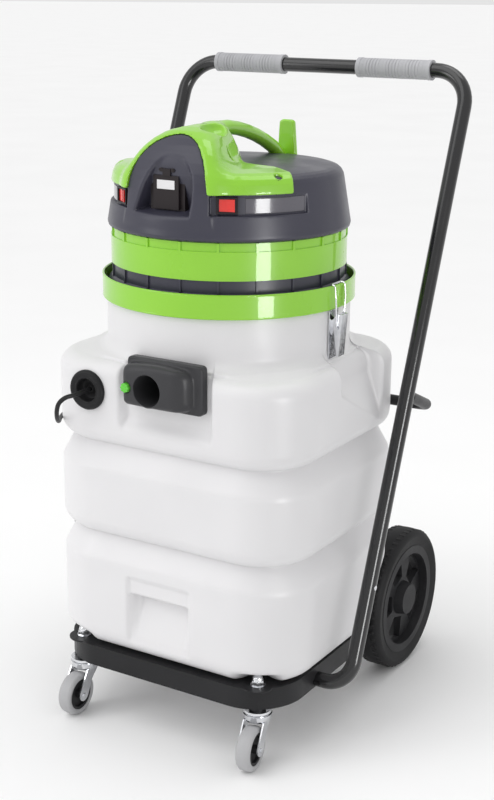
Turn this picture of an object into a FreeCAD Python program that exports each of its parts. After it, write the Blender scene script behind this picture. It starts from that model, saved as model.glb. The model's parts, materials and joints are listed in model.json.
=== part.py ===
import FreeCAD, Part
import math
import os

# Wet-and-dry extraction machine: a blow-moulded tank on a wheeled frame, with a lift-off motor head.
# Millimetres. Everything is drawn about the tank neck's axis: X to the right, -Y to the front, Z up.
# The finished pieces are then moved by MIDDLE_Y, so the origin lies under the middle of the machine.
V = FreeCAD.Vector
MIDDLE_Y = -76.5

# Tank
WALL = 5.0
CORE_HALF, CORE_FRONT, CORE_REAR = 240.5, -216.5, 200.5
BULGE = 17.5
CORNER_FRONT, CORNER_REAR = 105.0, 91.0
TANK_LOW, SHOULDER, NECK_TOP = 147.0, 690.0, 800.0
GROOVES = (369.0, 540.0)
NECK_R = 217.0

# Base frame and casters
FRAME_LOW, FRAME_TOP, SHEET = 108.0, 147.0, 3.0
FRAME_HALF, FRAME_FRONT, FRAME_REAR = 240.0, -230.0, 212.0
STEM_X, STEM_Y = 189.0, -202.0
CASTER_R, CASTER_TREAD, TRAIL = 40.0, 26.0, 29.0
CASTER_TURN = {"left": 0.0, "right": 7.6}

# Rear wheels
WHEEL_R, WHEEL_WIDTH, WHEEL_OUT = 140.0, 60.0, 248.0
AXLE_Y, AXLE_Z, AXLE_R = 285.0, 140.0, 10.0

# Handle: two side tubes leaning back, a top bow and a rear bar
TUBE_R, TUBE_IN, SIDE_X = 13.5, 11.5, 303.0
FOOT_Y, FOOT_Z = -78.1, 120.0
BAR_Y, BAR_Z = 334.2, 1166.0
JOINT_Z = 307.0
BOW_BEND = 66.0
REAR_BAR_R = 10.0

# Head
BAND_R, HEAD_LOW = 208.7, 803.0
COVER_R, COVER_LOW, COVER_SHOULDER, COVER_TOP = 214.0, 909.0, 1000.0, 1032.0
SKIN = 3.5
STRIP_R = 201.0
SWITCHES = {"left": (-31.0, 970.0), "right": (31.0, 970.0)}

# Latches
LATCH_Y = -12.0
PIVOT_X, PIVOT_Z = 233.5, 770.7
HOOK_X, HOOK_Z = 230.4, 753.0
RIM_X, RIM_Z = 222.6, 828.6

# Hose and pump lead
HOSE_X, HOSE_R, OUTLET_Z = -287.5, 25.0, 205.0
GROMMET_X, GROMMET_Z = -141.0, 637.0
LEAD_R = 4.0
INLET_X, INLET_Z, INLET_R = 4.0, 663.0, 27.5

SIDES = {"left": -1.0, "right": 1.0}


def write(shape, name):
    placed = shape.copy()
    placed.translate(V(0, MIDDLE_Y, 0))
    placed.exportStep("parts/" + name + ".step")


def box(x, y, z):
    return Part.makeBox(x[1] - x[0], y[1] - y[0], z[1] - z[0], V(x[0], y[0], z[0]))


def rod(radius, start, end):
    line = V(*end).sub(V(*start))
    return Part.makeCylinder(radius, line.Length, V(*start), line)


def pipe(outer, inner, start, end):
    return rod(outer, start, end).cut(rod(inner, start, end))


def face(points, plane):
    """A flat face: each entry is a corner, or a pair (point on the arc, end of the arc)."""
    edges = []
    last = points[0]
    for step in points[1:] + [points[0]]:
        if isinstance(step[0], tuple):
            middle, end = step
            edges.append(Part.Arc(plane(*last), plane(*middle), plane(*end)).toShape())
        else:
            end = step
            edges.append(Part.makeLine(plane(*last), plane(*end)))
        last = end
    return Part.Face(Part.Wire(edges))


def across(points, x0, x1):
    return face(points, lambda y, z: V(x0, y, z)).extrude(V(x1 - x0, 0, 0))


def along(points, y0, y1):
    return face(points, lambda x, z: V(x, y0, z)).extrude(V(0, y1 - y0, 0))


def turned(points, base=(0, 0, 0), direction=(0, 0, 1)):
    """A solid of revolution: the outline is (radius, height) up the axis through base."""
    solid = face(points, lambda r, z: V(r, 0, z)).revolve(V(0, 0, 0), V(0, 0, 1), 360)
    solid.Placement = FreeCAD.Placement(V(*base), FreeCAD.Rotation(V(0, 0, 1), V(*direction)))
    return solid


def rounded_face(half, front, rear, corner_front, corner_rear, z):
    a, b, k = corner_front, corner_rear, 1 - math.sqrt(0.5)
    points = [(-half + a, front), (half - a, front), ((half - a * k, front + a * k), (half, front + a)),
              (half, rear - b), ((half - b * k, rear - b * k), (half - b, rear)), (-half + b, rear),
              ((-half + b * k, rear - b * k), (-half, rear - b)), (-half, front + a),
              ((-half + a * k, front + a * k), (-half + a, front))]
    return outline_face(points, z)


def outline_face(points, z):
    edges = []
    last = points[0]
    for step in points[1:]:
        if isinstance(step[0], tuple):
            edges.append(Part.Arc(V(*last, z), V(*step[0], z), V(*step[1], z)).toShape())
            last = step[1]
        else:
            edges.append(Part.makeLine(V(*last, z), V(*step, z)))
            last = step
    return Part.Face(Part.Wire(edges))


def slab(grow, z0, z1, round_low=0.0, round_top=0.0):
    """A layer of the tank's plan, grown outward, with its two rims rounded."""
    solid = rounded_face(CORE_HALF + grow, CORE_FRONT - grow, CORE_REAR + grow,
                         CORNER_FRONT + grow, CORNER_REAR + grow, z0).extrude(V(0, 0, z1 - z0))
    for height, radius in ((z0, round_low), (z1, round_top)):
        if radius > 0:
            rim = [e for e in solid.Edges if all(abs(v.Z - height) < 0.01 for v in e.Vertexes)]
            solid = solid.makeFillet(radius, rim)
    return solid


def bent_path(points, radii):
    """Straight runs joined by tangent arcs, one radius for each inner point."""
    points = [V(*p) for p in points]
    edges = []
    last = points[0]
    for before, here, after, radius in zip(points, points[1:], points[2:], radii):
        back = before.sub(here).normalize()
        ahead = after.sub(here).normalize()
        half_turn = (math.pi - back.getAngle(ahead)) / 2
        reach = radius * math.tan(half_turn)
        inward = back.add(ahead).normalize()
        middle = here.add(inward.multiply(radius / math.cos(half_turn) - radius))
        start = here.add(V(back).multiply(reach))
        end = here.add(V(ahead).multiply(reach))
        edges.append(Part.LineSegment(last, start).toShape())
        edges.append(Part.Arc(start, middle, end).toShape())
        last = end
    edges.append(Part.LineSegment(last, points[-1]).toShape())
    return Part.Wire(edges)


def sweep(path, radius):
    start = path.Edges[0]
    ring = Part.Wire(Part.makeCircle(radius, start.Vertexes[0].Point, start.tangentAt(start.FirstParameter)))
    return path.makePipeShell([ring], True, False)


def free_radii(points):
    """The largest arc that fits at each inner point of a loose cord."""
    points = [V(*p) for p in points]
    radii = []
    for before, here, after in zip(points, points[1:], points[2:]):
        back = before.sub(here)
        ahead = after.sub(here)
        half_turn = (math.pi - back.getAngle(ahead)) / 2
        radii.append(0.45 * min(back.Length, ahead.Length) / math.tan(half_turn))
    return radii


# ---- Tank ----

def tank_body(inset):
    """The tank's outside at inset 0, its cavity at inset WALL."""
    low, top = TANK_LOW + inset, SHOULDER - inset
    first, second = GROOVES
    bulge = BULGE - inset
    body = slab(-inset, low, top, 22.0, 0)
    lift = 4.0 + inset
    for z0, z1, r0, r1 in ((low, first - lift, 28.0, 12.0), (first + lift, second - lift, 12.0, 12.0),
                           (second + lift, top, 12.0, 42.0 - inset)):
        body = body.fuse(slab(bulge, z0, z1, r0, r1))
    neck_end = NECK_TOP + (1.0 if inset else 0.0)
    return body.fuse(rod(NECK_R - inset - (3.0 if inset else 0.0), (0, 0, top - 60), (0, 0, neck_end)))


def tank_recesses(grow):
    """Everything pressed into the tank's walls, grown by the wall thickness for the cavity."""
    g = grow
    cuts = [across([(150 - g, TANK_LOW - 9), (232 - g, 306), (300, 306), (300, TANK_LOW - 9)], -300, 300)]
    cuts.append(across([(-250, 268 + g), (-214 + g, 268 + g), (-214 + g, 250), (-236 + g, 178 - g),
                        (-250, 178 - g)], -65 - g, 65 + g))
    cuts.append(box((-75 - g, 115 + g), (-260, -229 + g), (590 - g, 722)))
    for side in SIDES.values():
        inner, outer = side * (176 - g), side * 300
        cuts.append(rod(150 + g, (inner, AXLE_Y, AXLE_Z), (outer, AXLE_Y, AXLE_Z)))
        cuts.append(rod(25 + g, (side * STEM_X, STEM_Y, 100), (side * STEM_X, STEM_Y, 180 + g)))
        cuts.append(along([(side * 275, 560 - g), (side * (240 - g), 645), (side * (240 - g), 730),
                           (side * 275, 730)], -60 - g, 65 + g))
    return cuts


def make_tank():
    outside = tank_body(0).cut(tank_recesses(0))
    cavity = tank_body(WALL).cut(tank_recesses(WALL))
    tank = outside.cut(cavity)
    pads = []
    for side in SIDES.values():
        pads.append(box(sorted((side * 204, side * 217.5)), (LATCH_Y - 26, LATCH_Y + 26), (692, 780)))
    pads = [pad.cut(rod(NECK_R - 2, (0, 0, 600), (0, 0, NECK_TOP))) for pad in pads]
    tank = tank.fuse(pads)
    tank = tank.cut(rod(24.3, (GROMMET_X, -260, GROMMET_Z), (GROMMET_X, -200, GROMMET_Z)))
    tank = tank.cut(rod(30.3, (INLET_X, -260, INLET_Z), (INLET_X, -190, INLET_Z)))
    return tank.cut(rod(16.2, (-300, hose_y(OUTLET_Z), OUTLET_Z), (-220, hose_y(OUTLET_Z), OUTLET_Z)))


# ---- Base frame, axle and casters ----

def frame_plan(inset, z, height):
    half, notch, back = FRAME_HALF - inset, 178.0 - inset, 118.0 - inset
    a, k = 95.0 - inset, 1 - math.sqrt(0.5)
    front, rear = FRAME_FRONT + inset, FRAME_REAR - inset
    points = [(-half + a, front), (half - a, front), ((half - a * k, front + a * k), (half, front + a)),
              (half, back - 60), (notch, back), (notch, rear), (-notch, rear), (-notch, back),
              (-half, back - 60), (-half, front + a), ((-half + a * k, front + a * k), (-half + a, front))]
    return outline_face(points, z).extrude(V(0, 0, height))


def make_frame():
    frame = frame_plan(0, FRAME_LOW, FRAME_TOP - FRAME_LOW)
    frame = frame.cut(frame_plan(SHEET, FRAME_LOW - 1, FRAME_TOP - FRAME_LOW + 1 - SHEET))
    frame = frame.cut(frame_plan(55, FRAME_LOW, FRAME_TOP))
    extra = [box((-172, 172), (150, 153), (FRAME_LOW, FRAME_TOP))]
    holes = []
    for side in SIDES.values():
        x = side * STEM_X
        extra.append(rod(27, (x, STEM_Y, FRAME_TOP - SHEET), (x, STEM_Y, FRAME_TOP)))
        extra.append(rod(15, (x, STEM_Y, FRAME_LOW - 3), (x, STEM_Y, FRAME_TOP)))
        holes.append(rod(6.05, (x, STEM_Y, 90), (x, STEM_Y, 160)))
        holes.append(rod(4.2, (side * 260, FOOT_Y, FOOT_Z), (side * 200, FOOT_Y, FOOT_Z)))
    return frame.fuse(extra).cut(holes)


def make_axle_brackets():
    """Welded plates behind the frame that carry the axle."""
    plates = []
    for side in SIDES.values():
        outline = [(FRAME_REAR, 110), (AXLE_Y, 118), ((AXLE_Y + 22, AXLE_Z), (AXLE_Y, 162)), (FRAME_REAR, 162)]
        plate = across(outline, *sorted((side * 160, side * 164)))
        foot = box(sorted((side * 148, side * 174)), (FRAME_REAR, FRAME_REAR + 3), (FRAME_LOW, 162))
        plate = plate.fuse(foot)
        plates.append(plate.cut(rod(AXLE_R, (side * 150, AXLE_Y, AXLE_Z), (side * 170, AXLE_Y, AXLE_Z))))
    return Part.makeCompound(plates)


def make_axle():
    axle = rod(AXLE_R, (-WHEEL_OUT + 6, AXLE_Y, AXLE_Z), (WHEEL_OUT - 6, AXLE_Y, AXLE_Z))
    collars = [pipe(15, AXLE_R, (s * 180, AXLE_Y, AXLE_Z), (s * 187, AXLE_Y, AXLE_Z)) for s in SIDES.values()]
    return axle.fuse(collars)


def make_wheel(side):
    mid, half = side * (WHEEL_OUT - WHEEL_WIDTH / 2), WHEEL_WIDTH / 2
    tyre = turned([(108, -half + 5), (126, -half + 1), ((136, -half + 5), (WHEEL_R - 1, -half + 16)),
                   ((WHEEL_R, 0), (WHEEL_R - 1, half - 16)), ((136, half - 5), (126, half - 1)),
                   (108, half - 5)], (mid, AXLE_Y, AXLE_Z), (side, 0, 0))
    rim = turned([(AXLE_R + 0.05, -half + 2), (26, -half + 2), (26, -4), (92, -4), (92, -half + 4),
                  (108, -half + 4), (108, half - 4), (92, half - 4), (92, 8), (34, 12), (30, half + 0),
                  (0, half), (0, half - 5), (AXLE_R + 0.05, half - 5)], (mid, AXLE_Y, AXLE_Z), (side, 0, 0))
    windows = []
    for step in range(5):
        hole = along([(-17, 40), (17, 40), (30, 84), (-30, 84)], -20, 20)
        hole.rotate(V(0, 0, 0), V(0, 0, 1), 90)
        hole.rotate(V(0, 0, 0), V(1, 0, 0), 72 * step + 20)
        hole.translate(V(mid, AXLE_Y, AXLE_Z))
        windows.append(hole)
    return tyre, rim.cut(windows)


def turn_caster(shape, side_name):
    solid = shape.copy()
    solid.rotate(V(0, 0, 0), V(0, 0, 1), CASTER_TURN[side_name])
    solid.translate(V(SIDES[side_name] * STEM_X, STEM_Y, 0))
    return solid


def make_stems():
    stems = []
    for side in SIDES.values():
        stem = turned([(0, 83), (8, 83), (8, 85.2), (5, 85.8), (5, 92.5), (14, 93), (21, 96), (25, 100.5),
                       (25, 104.8), (6, 104.8), (6, 165), (0, 165)])
        stem.translate(V(side * STEM_X, STEM_Y, 0))
        stems.append(stem)
    return Part.makeCompound(stems)


def make_nuts():
    nuts = []
    for side in SIDES.values():
        washer = pipe(13, 6.05, (0, 0, FRAME_TOP), (0, 0, FRAME_TOP + 2))
        corners = [(11.5 * math.cos(math.radians(60 * i)), 11.5 * math.sin(math.radians(60 * i)))
                   for i in range(6)]
        hexagon = outline_face(corners + [corners[0]], FRAME_TOP + 2).extrude(V(0, 0, 9))
        dome = turned([(0, FRAME_TOP + 11), (9.5, FRAME_TOP + 11), ((7, FRAME_TOP + 18), (0, FRAME_TOP + 21))])
        nut = hexagon.fuse(dome).fuse(washer).cut(rod(6.05, (0, 0, FRAME_TOP - 1), (0, 0, 165)))
        nut.translate(V(side * STEM_X, STEM_Y, 0))
        nuts.append(nut)
    return Part.makeCompound(nuts)


def make_fork(side_name):
    """Pressed fork: lower race cup, crown, two legs and the riveted wheel pin."""
    crown = turned([(5.3, 92), (13, 92), (19.5, 94.3), (23.5, 98.2), (25.8, 97), (24, 88), (22, 84),
                    (8.3, 83), (8.3, 86.3), (5.3, 86.3)])
    fork = crown
    for side in SIDES.values():
        leg = across([(17, 86), (-17, 86), (-TRAIL - 11, 50), ((-TRAIL - 2, 29.5), (-TRAIL + 10.5, 37)),
                      (-4, 66)], *sorted((side * 17.5, side * 20)))
        fork = fork.fuse(leg)
    fork = fork.fuse(box((-20, 20), (-17, 17), (83.5, 86)).cut(rod(8.3, (0, 0, 80), (0, 0, 90))))
    fork = fork.fuse(rod(4, (-22, -TRAIL, CASTER_R), (22, -TRAIL, CASTER_R)))
    return turn_caster(fork, side_name)


def make_caster_wheel(side_name):
    half = CASTER_TREAD / 2
    base, axis = (0, -TRAIL, CASTER_R), (1, 0, 0)
    tyre = turned([(29, -half + 1), ((37, -half + 1), (CASTER_R - 0.8, -half + 6)),
                   ((CASTER_R, 0), (CASTER_R - 0.8, half - 6)), ((37, half - 1), (29, half - 1))], base, axis)
    hub = turned([(4.05, -15.5), (8, -15.5), (8, -5), (24, -5), (24, -half + 2), (29, -half + 2),
                  (29, half - 2), (24, half - 2), (24, 5), (8, 5), (8, 15.5), (4.05, 15.5)], base, axis)
    return turn_caster(tyre, side_name), turn_caster(hub, side_name)


# ---- Handle ----

def lean_y(z):
    """Y of the side tubes' centre line at height z."""
    return FOOT_Y + (z - FOOT_Z) * (BAR_Y - FOOT_Y) / (BAR_Z - FOOT_Z)


def hollow_tube(points, radii, outer, inner):
    path = bent_path(points, radii)
    return sweep(path, outer).cut(sweep(path, inner))


def make_side_tube(side):
    foot = [(side * FRAME_HALF, FOOT_Y, FOOT_Z), (side * SIDE_X, FOOT_Y, FOOT_Z), (side * SIDE_X, lean_y(JOINT_Z), JOINT_Z)]
    tube = hollow_tube(foot, [48], TUBE_R, TUBE_IN)
    lug = box(sorted((side * FRAME_HALF, side * 252)), (FOOT_Y - 18, FOOT_Y + 18), (FOOT_Z - 3, FOOT_Z + 3))
    lug = lug.cut(rod(TUBE_IN, (side * 235, FOOT_Y, FOOT_Z), (side * 264, FOOT_Y, FOOT_Z)))
    return tube.fuse(lug).cut(joint_pin(side))


def make_bow():
    points = [(-SIDE_X, lean_y(JOINT_Z), JOINT_Z), (-SIDE_X, BAR_Y, BAR_Z), (SIDE_X, BAR_Y, BAR_Z),
              (SIDE_X, lean_y(JOINT_Z), JOINT_Z)]
    return hollow_tube(points, [BOW_BEND, BOW_BEND], TUBE_R, TUBE_IN)


def joint_pin(side):
    """Flush cross pin at the joint between a side tube and the bow."""
    z = JOINT_Z - 18
    outer = side * (SIDE_X + TUBE_R)
    return rod(4.5, (outer, lean_y(z), z), (outer - side * 2, lean_y(z), z))


def make_sleeves():
    """Spigots inside the tube joints, with their cross pins."""
    sleeves = []
    for side in SIDES.values():
        x = side * SIDE_X
        low = (x, lean_y(JOINT_Z - 40), JOINT_Z - 40)
        high = (x, lean_y(JOINT_Z + 40), JOINT_Z + 40)
        sleeves.append(rod(TUBE_IN, low, high))
    return Part.makeCompound(sleeves)


def make_grip(x0, x1):
    """Soft ribbed grip on the bar, with a collar at each end."""
    count = 20
    pitch = (x1 - x0 - 16) / count
    points = [(TUBE_R, 0), (18.5, 0), (18.5, 8)]
    for i in range(count):
        z = 8 + i * pitch
        points += [(16.2, z + 0.3), (17.8, z + pitch * 0.35), (17.8, z + pitch * 0.75), (16.2, z + pitch * 0.97)]
    end = x1 - x0
    points += [(18.5, end - 8 + 0.3), (18.5, end), (TUBE_R, end)]
    return turned(points, (x0, BAR_Y, BAR_Z), (1, 0, 0))


def make_rear_bar():
    path = bent_path([(-SIDE_X, 128.7, 606.6), (-291, 249, 557), (291, 249, 557), (SIDE_X, 128.7, 606.6)], [40, 40])
    return sweep(path, REAR_BAR_R)


def make_bolts():
    """Bolts through the frame into the tube feet, and the joint pins of the bow."""
    bolts = []
    for side in SIDES.values():
        shaft = rod(4.0, (side * 232, FOOT_Y, FOOT_Z), (side * (FRAME_HALF + 8), FOOT_Y, FOOT_Z))
        head = rod(7.5, (side * 230, FOOT_Y, FOOT_Z), (side * (FRAME_HALF - SHEET), FOOT_Y, FOOT_Z))
        bolts.append(shaft.fuse(head))
        bolts.append(joint_pin(side))
    return Part.makeCompound(bolts)


# ---- Collar, seal and latches ----

def make_collar():
    return turned([(NECK_R + 0.2, 784), (223, 784), ((224.6, 785), (225, 788)), (225, 823),
                   ((223.2, 826), (221.4, 823)), (221.2, 797), (219, 793), (NECK_R + 0.2, 793)])


def make_seal():
    return turned([(NECK_R - 8, NECK_TOP), (NECK_R, NECK_TOP), (NECK_R, HEAD_LOW), (NECK_R - 8, HEAD_LOW)])


def make_latch_base(side):
    plate = box(sorted((side * 217.5, side * 219.5)), (LATCH_Y - 15, LATCH_Y + 15), (698, 782))
    ears = []
    for y in (LATCH_Y - 8.5, LATCH_Y + 6.5):
        outline = [(side * 219, 738), (side * 219, 764), (side * (PIVOT_X - 2.5), 773.8),
                   (side * PIVOT_X, PIVOT_Z + 4), (side * (PIVOT_X + 4), PIVOT_Z), (side * (PIVOT_X + 1), 766)]
        ears.append(along(outline, y, y + 2))
    pin = rod(2.0, (side * PIVOT_X, LATCH_Y - 10.9, PIVOT_Z), (side * PIVOT_X, LATCH_Y + 10.9, PIVOT_Z))
    return plate.fuse(ears).fuse(pin)


def make_lever(side):
    """Channel lever: a sloping web, two cheeks and a stub for each end of the wire loop."""
    outline = [(side * 226, 745), (side * 226, 772), (side * 230, 777), (side * 241, 777),
               (side * 235.5, 703), (side * 231.5, 703)]
    hollow = [(side * 200, 690), (side * 200, 790), (side * 240.4, 790), (side * 233, 690)]
    low, high = LATCH_Y - 8.9, LATCH_Y + 8.9
    lever = along(outline, LATCH_Y - 10.5, LATCH_Y + 10.5).cut(along(hollow, low, high))
    lever = lever.cut(rod(2.05, (side * PIVOT_X, LATCH_Y - 12, PIVOT_Z), (side * PIVOT_X, LATCH_Y + 12, PIVOT_Z)))
    for y0, y1 in ((LATCH_Y - 13.6, low), (high, LATCH_Y + 13.6)):
        lever = lever.fuse(rod(2.0, (side * HOOK_X, y0, HOOK_Z), (side * HOOK_X, y1, HOOK_Z)))
    return lever


def make_bail(side):
    """Wire loop: an eye round each end of the hook pin, two legs and the crossbar over the rim."""
    y0, y1 = LATCH_Y - 17.5, LATCH_Y + 17.5
    low0, low1 = LATCH_Y - 12.2, LATCH_Y + 12.2
    points = [(side * (HOOK_X + 0.6), low0, HOOK_Z + 2.5), (side * 231.5, low0 - 1.5, 772),
              (side * 231.5, y0, 806), (side * 229.6, y0, 825.8), (side * RIM_X, y0, RIM_Z),
              (side * RIM_X, y1, RIM_Z), (side * 229.6, y1, 825.8), (side * 231.5, y1, 806), (side * 231.5, low1 + 1.5, 772), (side * (HOOK_X + 0.6), low1, HOOK_Z + 2.5)]
    bail = sweep(bent_path(points, [30, 12, 3, 3, 3, 3, 12, 30]), 1.6)
    for y in (low0, low1):
        bail = bail.fuse(rod(3.8, (side * HOOK_X, y - 1.2, HOOK_Z), (side * HOOK_X, y + 1.2, HOOK_Z)))
    return bail.cut(rod(2.05, (side * HOOK_X, LATCH_Y - 20, HOOK_Z), (side * HOOK_X, LATCH_Y + 20, HOOK_Z)))


# ---- Inlet, grommet, pump and hose ----

def make_inlet_plate():
    plate = box((-56, 98), (-234, -229), (624, 712))
    corners = [e for e in plate.Edges if abs(e.Vertexes[0].Y - e.Vertexes[-1].Y) > 1]
    return plate.makeFillet(8, corners).cut(rod(30.05, (INLET_X, -260, INLET_Z), (INLET_X, -200, INLET_Z)))


def make_inlet_housing():
    block = box((-50, 73), (-264, -234), (632, 703))
    block = block.makeFillet(14, [e for e in block.Edges if abs(e.Vertexes[0].Y - e.Vertexes[-1].Y) > 1])
    front = [e for e in block.Edges if all(abs(v.Y + 264) < 0.1 for v in e.Vertexes)]
    block = block.makeFillet(6, front)
    block = block.cut(rod(30.0, (INLET_X, -270, INLET_Z), (INLET_X, -220, INLET_Z)))
    return block.cut(box((-47.2, -30.8), (-266, -240), (652.8, 669.2)))


def make_inlet_sleeve():
    return turned([(INLET_R, 0), (30, 0), (30, 70), (28.5, 71.5), (INLET_R, 71.5)],
                  (INLET_X, -192, INLET_Z), (0, -1, 0))


def make_button():
    button = box((-46.5, -31.5), (-268, -246), (653.5, 668.5))
    return button.makeFillet(3.5, [e for e in button.Edges if abs(e.Vertexes[0].Y - e.Vertexes[-1].Y) > 1])


def make_grommet():
    """Moulded rubber grommet: wide flange, deep cup and a tight hole for the pump lead."""
    front = CORE_FRONT - BULGE
    return turned([(LEAD_R, -6), (24, -6), (24, 0), (35.5, 0), ((35, 6), (30, 8.5)), (22, 7.5),
                   (20, 5), (20, -3), (LEAD_R, -3)], (GROMMET_X, front, GROMMET_Z), (0, -1, 0))


def make_pump():
    """Emptying pump on the tank floor, with a slotted strainer skirt."""
    base = TANK_LOW + WALL
    body = turned([(54, base), (60, base), (60, base + 150), (52, base + 166), (30, base + 170), (0, base + 170),
                   (0, base + 20), (54, base + 20)], (-70, 0, 0))
    slots = []
    for i in range(12):
        slot = box((40, 70), (-3, 3), (base + 4, base + 15))
        slot.rotate(V(0, 0, 0), V(0, 0, 1), 30 * i)
        slot.translate(V(-70, 0, 0))
        slots.append(slot)
    return body.cut(slots)


def make_riser():
    y, z = hose_y(OUTLET_Z), OUTLET_Z
    pipe_run = hollow_tube([(-105, -20, z), (-160, -20, z), (-190, y, z), (-243, y, z)], [25, 25], 14, 11)
    return pipe_run.cut(make_pump())


def hose_y(z):
    return 131 + (z - 800) * (BAR_Y - FOOT_Y) / (BAR_Z - FOOT_Z)


def make_outlet():
    """Drain elbow: through the tank wall, then up to the hose."""
    y, z = hose_y(OUTLET_Z), OUTLET_Z
    elbow = hollow_tube([(-243, y, z), (HOSE_X, y, z), (HOSE_X, hose_y(262), 262)], [22], 16, 13)
    flange = pipe(26, 15.9, (-258.0, y, z), (-261, y, z))
    return elbow.fuse(flange)


def make_hose():
    low, high = 242.0, 800.0
    start, end = (HOSE_X, hose_y(low), low), (HOSE_X, hose_y(high), high)
    line = V(*end).sub(V(*start))
    length = line.Length
    rings = 24
    pitch = length / rings
    points = [(17.0, 0), (21.5, 0)]
    for i in range(rings):
        z = i * pitch
        points += [(HOSE_R, z + pitch * 0.3), (HOSE_R, z + pitch * 0.7), (21.5, z + pitch)]
    points += [(17.0, length)]
    return turned(points, start, tuple(line))


def make_hose_cap():
    start = V(HOSE_X, hose_y(800), 800)
    line = V(0, hose_y(801) - hose_y(800), 1)
    return turned([(0, -20), (16.8, -20), (16.8, 0), (26, 0), ((28, 6), (24, 12)), (0, 14)], tuple(start), tuple(line))


def make_hose_clips():
    clips = []
    for z in (360, 640):
        y, tube_y = hose_y(z), lean_y(z)
        end_y, end_tube_y = hose_y(z + 18), lean_y(z + 18)
        around_hose = pipe(27.6, HOSE_R + 0.2, (HOSE_X, y, z), (HOSE_X, end_y, z + 18))
        around_tube = pipe(TUBE_R + 3, TUBE_R + 0.2, (-SIDE_X, tube_y, z), (-SIDE_X, end_tube_y, z + 18))
        link = box((-SIDE_X - 1.5, -SIDE_X + 1.5), (y + 20, tube_y - 12), (z + 6, z + 14))
        link = link.cut(rod(HOSE_R + 0.2, (HOSE_X, hose_y(z - 30), z - 30), (HOSE_X, hose_y(z + 50), z + 50)))
        clip = around_hose.fuse(around_tube).fuse(link)
        clips.append(clip.cut(box((-330, -SIDE_X - TUBE_R), (-200, 200), (z - 20, z + 60))))
    return Part.makeCompound(clips)


LEAD_ROUTE = [(-141, -237, 637), (-143, -261, 636), (-147, -281, 630), (-156, -289, 614), (-167, -284, 596),
              (-187, -265, 580), (-215, -233, 569), (-246, -194, 562), (-271, -142, 555), (-300, -92, 547),
              (-323, -36, 539), (-330, 26, 532), (-330, 90, 530), (-329, 150, 537), (-325, 196, 556),
              (-312, 232, 583), (-289, 262, 588), (-270, 284, 566), (-264, 292, 522), (-267, 289, 462),
              (-267, 289, 402)]


def make_lead():
    radii = free_radii(LEAD_ROUTE)
    print("lead radii", [round(r, 1) for r in radii])
    path = bent_path(LEAD_ROUTE, radii)
    lead = sweep(path, LEAD_R)
    print("lead length", round(path.Length, 1), "volume ratio", lead.Volume / (math.pi * LEAD_R ** 2 * path.Length))
    return lead


def make_plug():
    end = LEAD_ROUTE[-1]
    return turned([(0, 0), (6, 0), (9, 6), (12, 24), (18, 30), (18, 52), (15, 55), (0, 55)], end, (0, 0, -1))


# ---- Head ----

def cover_outline(inset, low):
    """Outer profile of the motor cover: conical wall, round shoulder, shallow dome."""
    r, s, top = COVER_R - inset, COVER_SHOULDER, COVER_TOP - inset
    return [(0, low), (r, low), (r, COVER_LOW + 8), (r - 13.6, s),
            ((r - 22, s + 16.5 - inset), (r - 42, s + 22 - inset)), (r / 2, top - 2.5), (0, top)]


def cover_solid(inset, low=COVER_LOW):
    return turned(cover_outline(inset, low))


def both_sides(half):
    return half + [(-x, z) for x, z in reversed(half) if x != 0]


def hood():
    """Bulge at the head's front that carries the socket and the grip's front end."""
    side_view = [(-230, 940), (-212, 985), (-203, 1015), (-185, 1046), (-162, 1068), (-132, 1085), (-100, 1093),
                 (-55, 1093), (-17, 1066), (30, 1004), (30, 940)]
    front_view = both_sides([(-97, 940), (-93, 990), (-84, 1025), (-68, 1056), (-46, 1080), (-24, 1093)])
    limit = Part.makeCone(216, 180, 165, V(0, 0, 935))
    return across(side_view, -110, 110).common(along(front_view, -240, 60)).common(limit)


def hood_hollow():
    side_view = [(-204, 940), (-196, 1012), (-176, 1044), (-154, 1064), (-128, 1080), (-60, 1082), (-30, 1066),
                 (14, 1006), (14, 940)]
    front_view = both_sides([(-90, 940), (-87, 990), (-79, 1020), (-64, 1050), (-43, 1073), (-26, 1082)])
    return across(side_view, -110, 110).common(along(front_view, -240, 60))


def arch():
    """Outline of the dark panel in the hood's front."""
    outline = both_sides([(-84, 930), (-80, 985), (-71, 1022), (-52, 1053), (-28, 1070), (0, 1076)])
    return along(outline, -240, -95)


def niche(grow=0.0):
    """Socket recess in the dark panel."""
    g = grow
    return across([(-260, 952 - g), (-168 + g, 952 - g), (-150 + g, 1010), (-152 + g, 1046 + g), (-260, 1062 + g)],
                  -58 - g, 46 + g)


def strip_recess(side):
    """Shallow band under the green shell's edge, where the switch sits."""
    sector = Part.makeCylinder(240, 30, V(0, 0, 953), V(0, 0, 1), 49)
    sector.rotate(V(0, 0, 0), V(0, 0, 1), -90 + (22 if side > 0 else -22 - 49))
    return sector.cut(rod(STRIP_R, (0, 0, 950), (0, 0, 990)))


def make_cover():
    """Dark motor cover: hollow dome with the socket panel and the two switch recesses."""
    panel = hood().common(arch())
    floor = niche(SKIN).common(cover_solid(0).fuse(panel))
    shell = cover_solid(0).fuse(panel)
    shell = shell.cut(cover_solid(SKIN, COVER_LOW - 1).fuse(hood_hollow().common(arch())))
    lining = rod(STRIP_R, (0, 0, 948), (0, 0, 987)).cut(rod(STRIP_R - 4, (0, 0, 940), (0, 0, 990)))
    shell = shell.fuse([floor, lining.common(cover_solid(1))])
    recesses = [strip_recess(side) for side in SIDES.values()]
    recesses += [place_on_wall(box((-18, 18), (-6, 14.5), (-13.5, 13.5)), angle, STRIP_R + 0.6, z)
                 for angle, z in SWITCHES.values()]
    return shell.cut([niche()] + recesses)


def front_region():
    """Plan region of the green shell: ahead of a line that sweeps back to both sides."""
    edge = [(-230, -76), (-66, -46), (-30, -38), (30, -38), (66, -46), (230, -76), (230, -260), (-230, -260),
            (-230, -76)]
    return outline_face(edge, 984).extrude(V(0, 0, 140))


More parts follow.
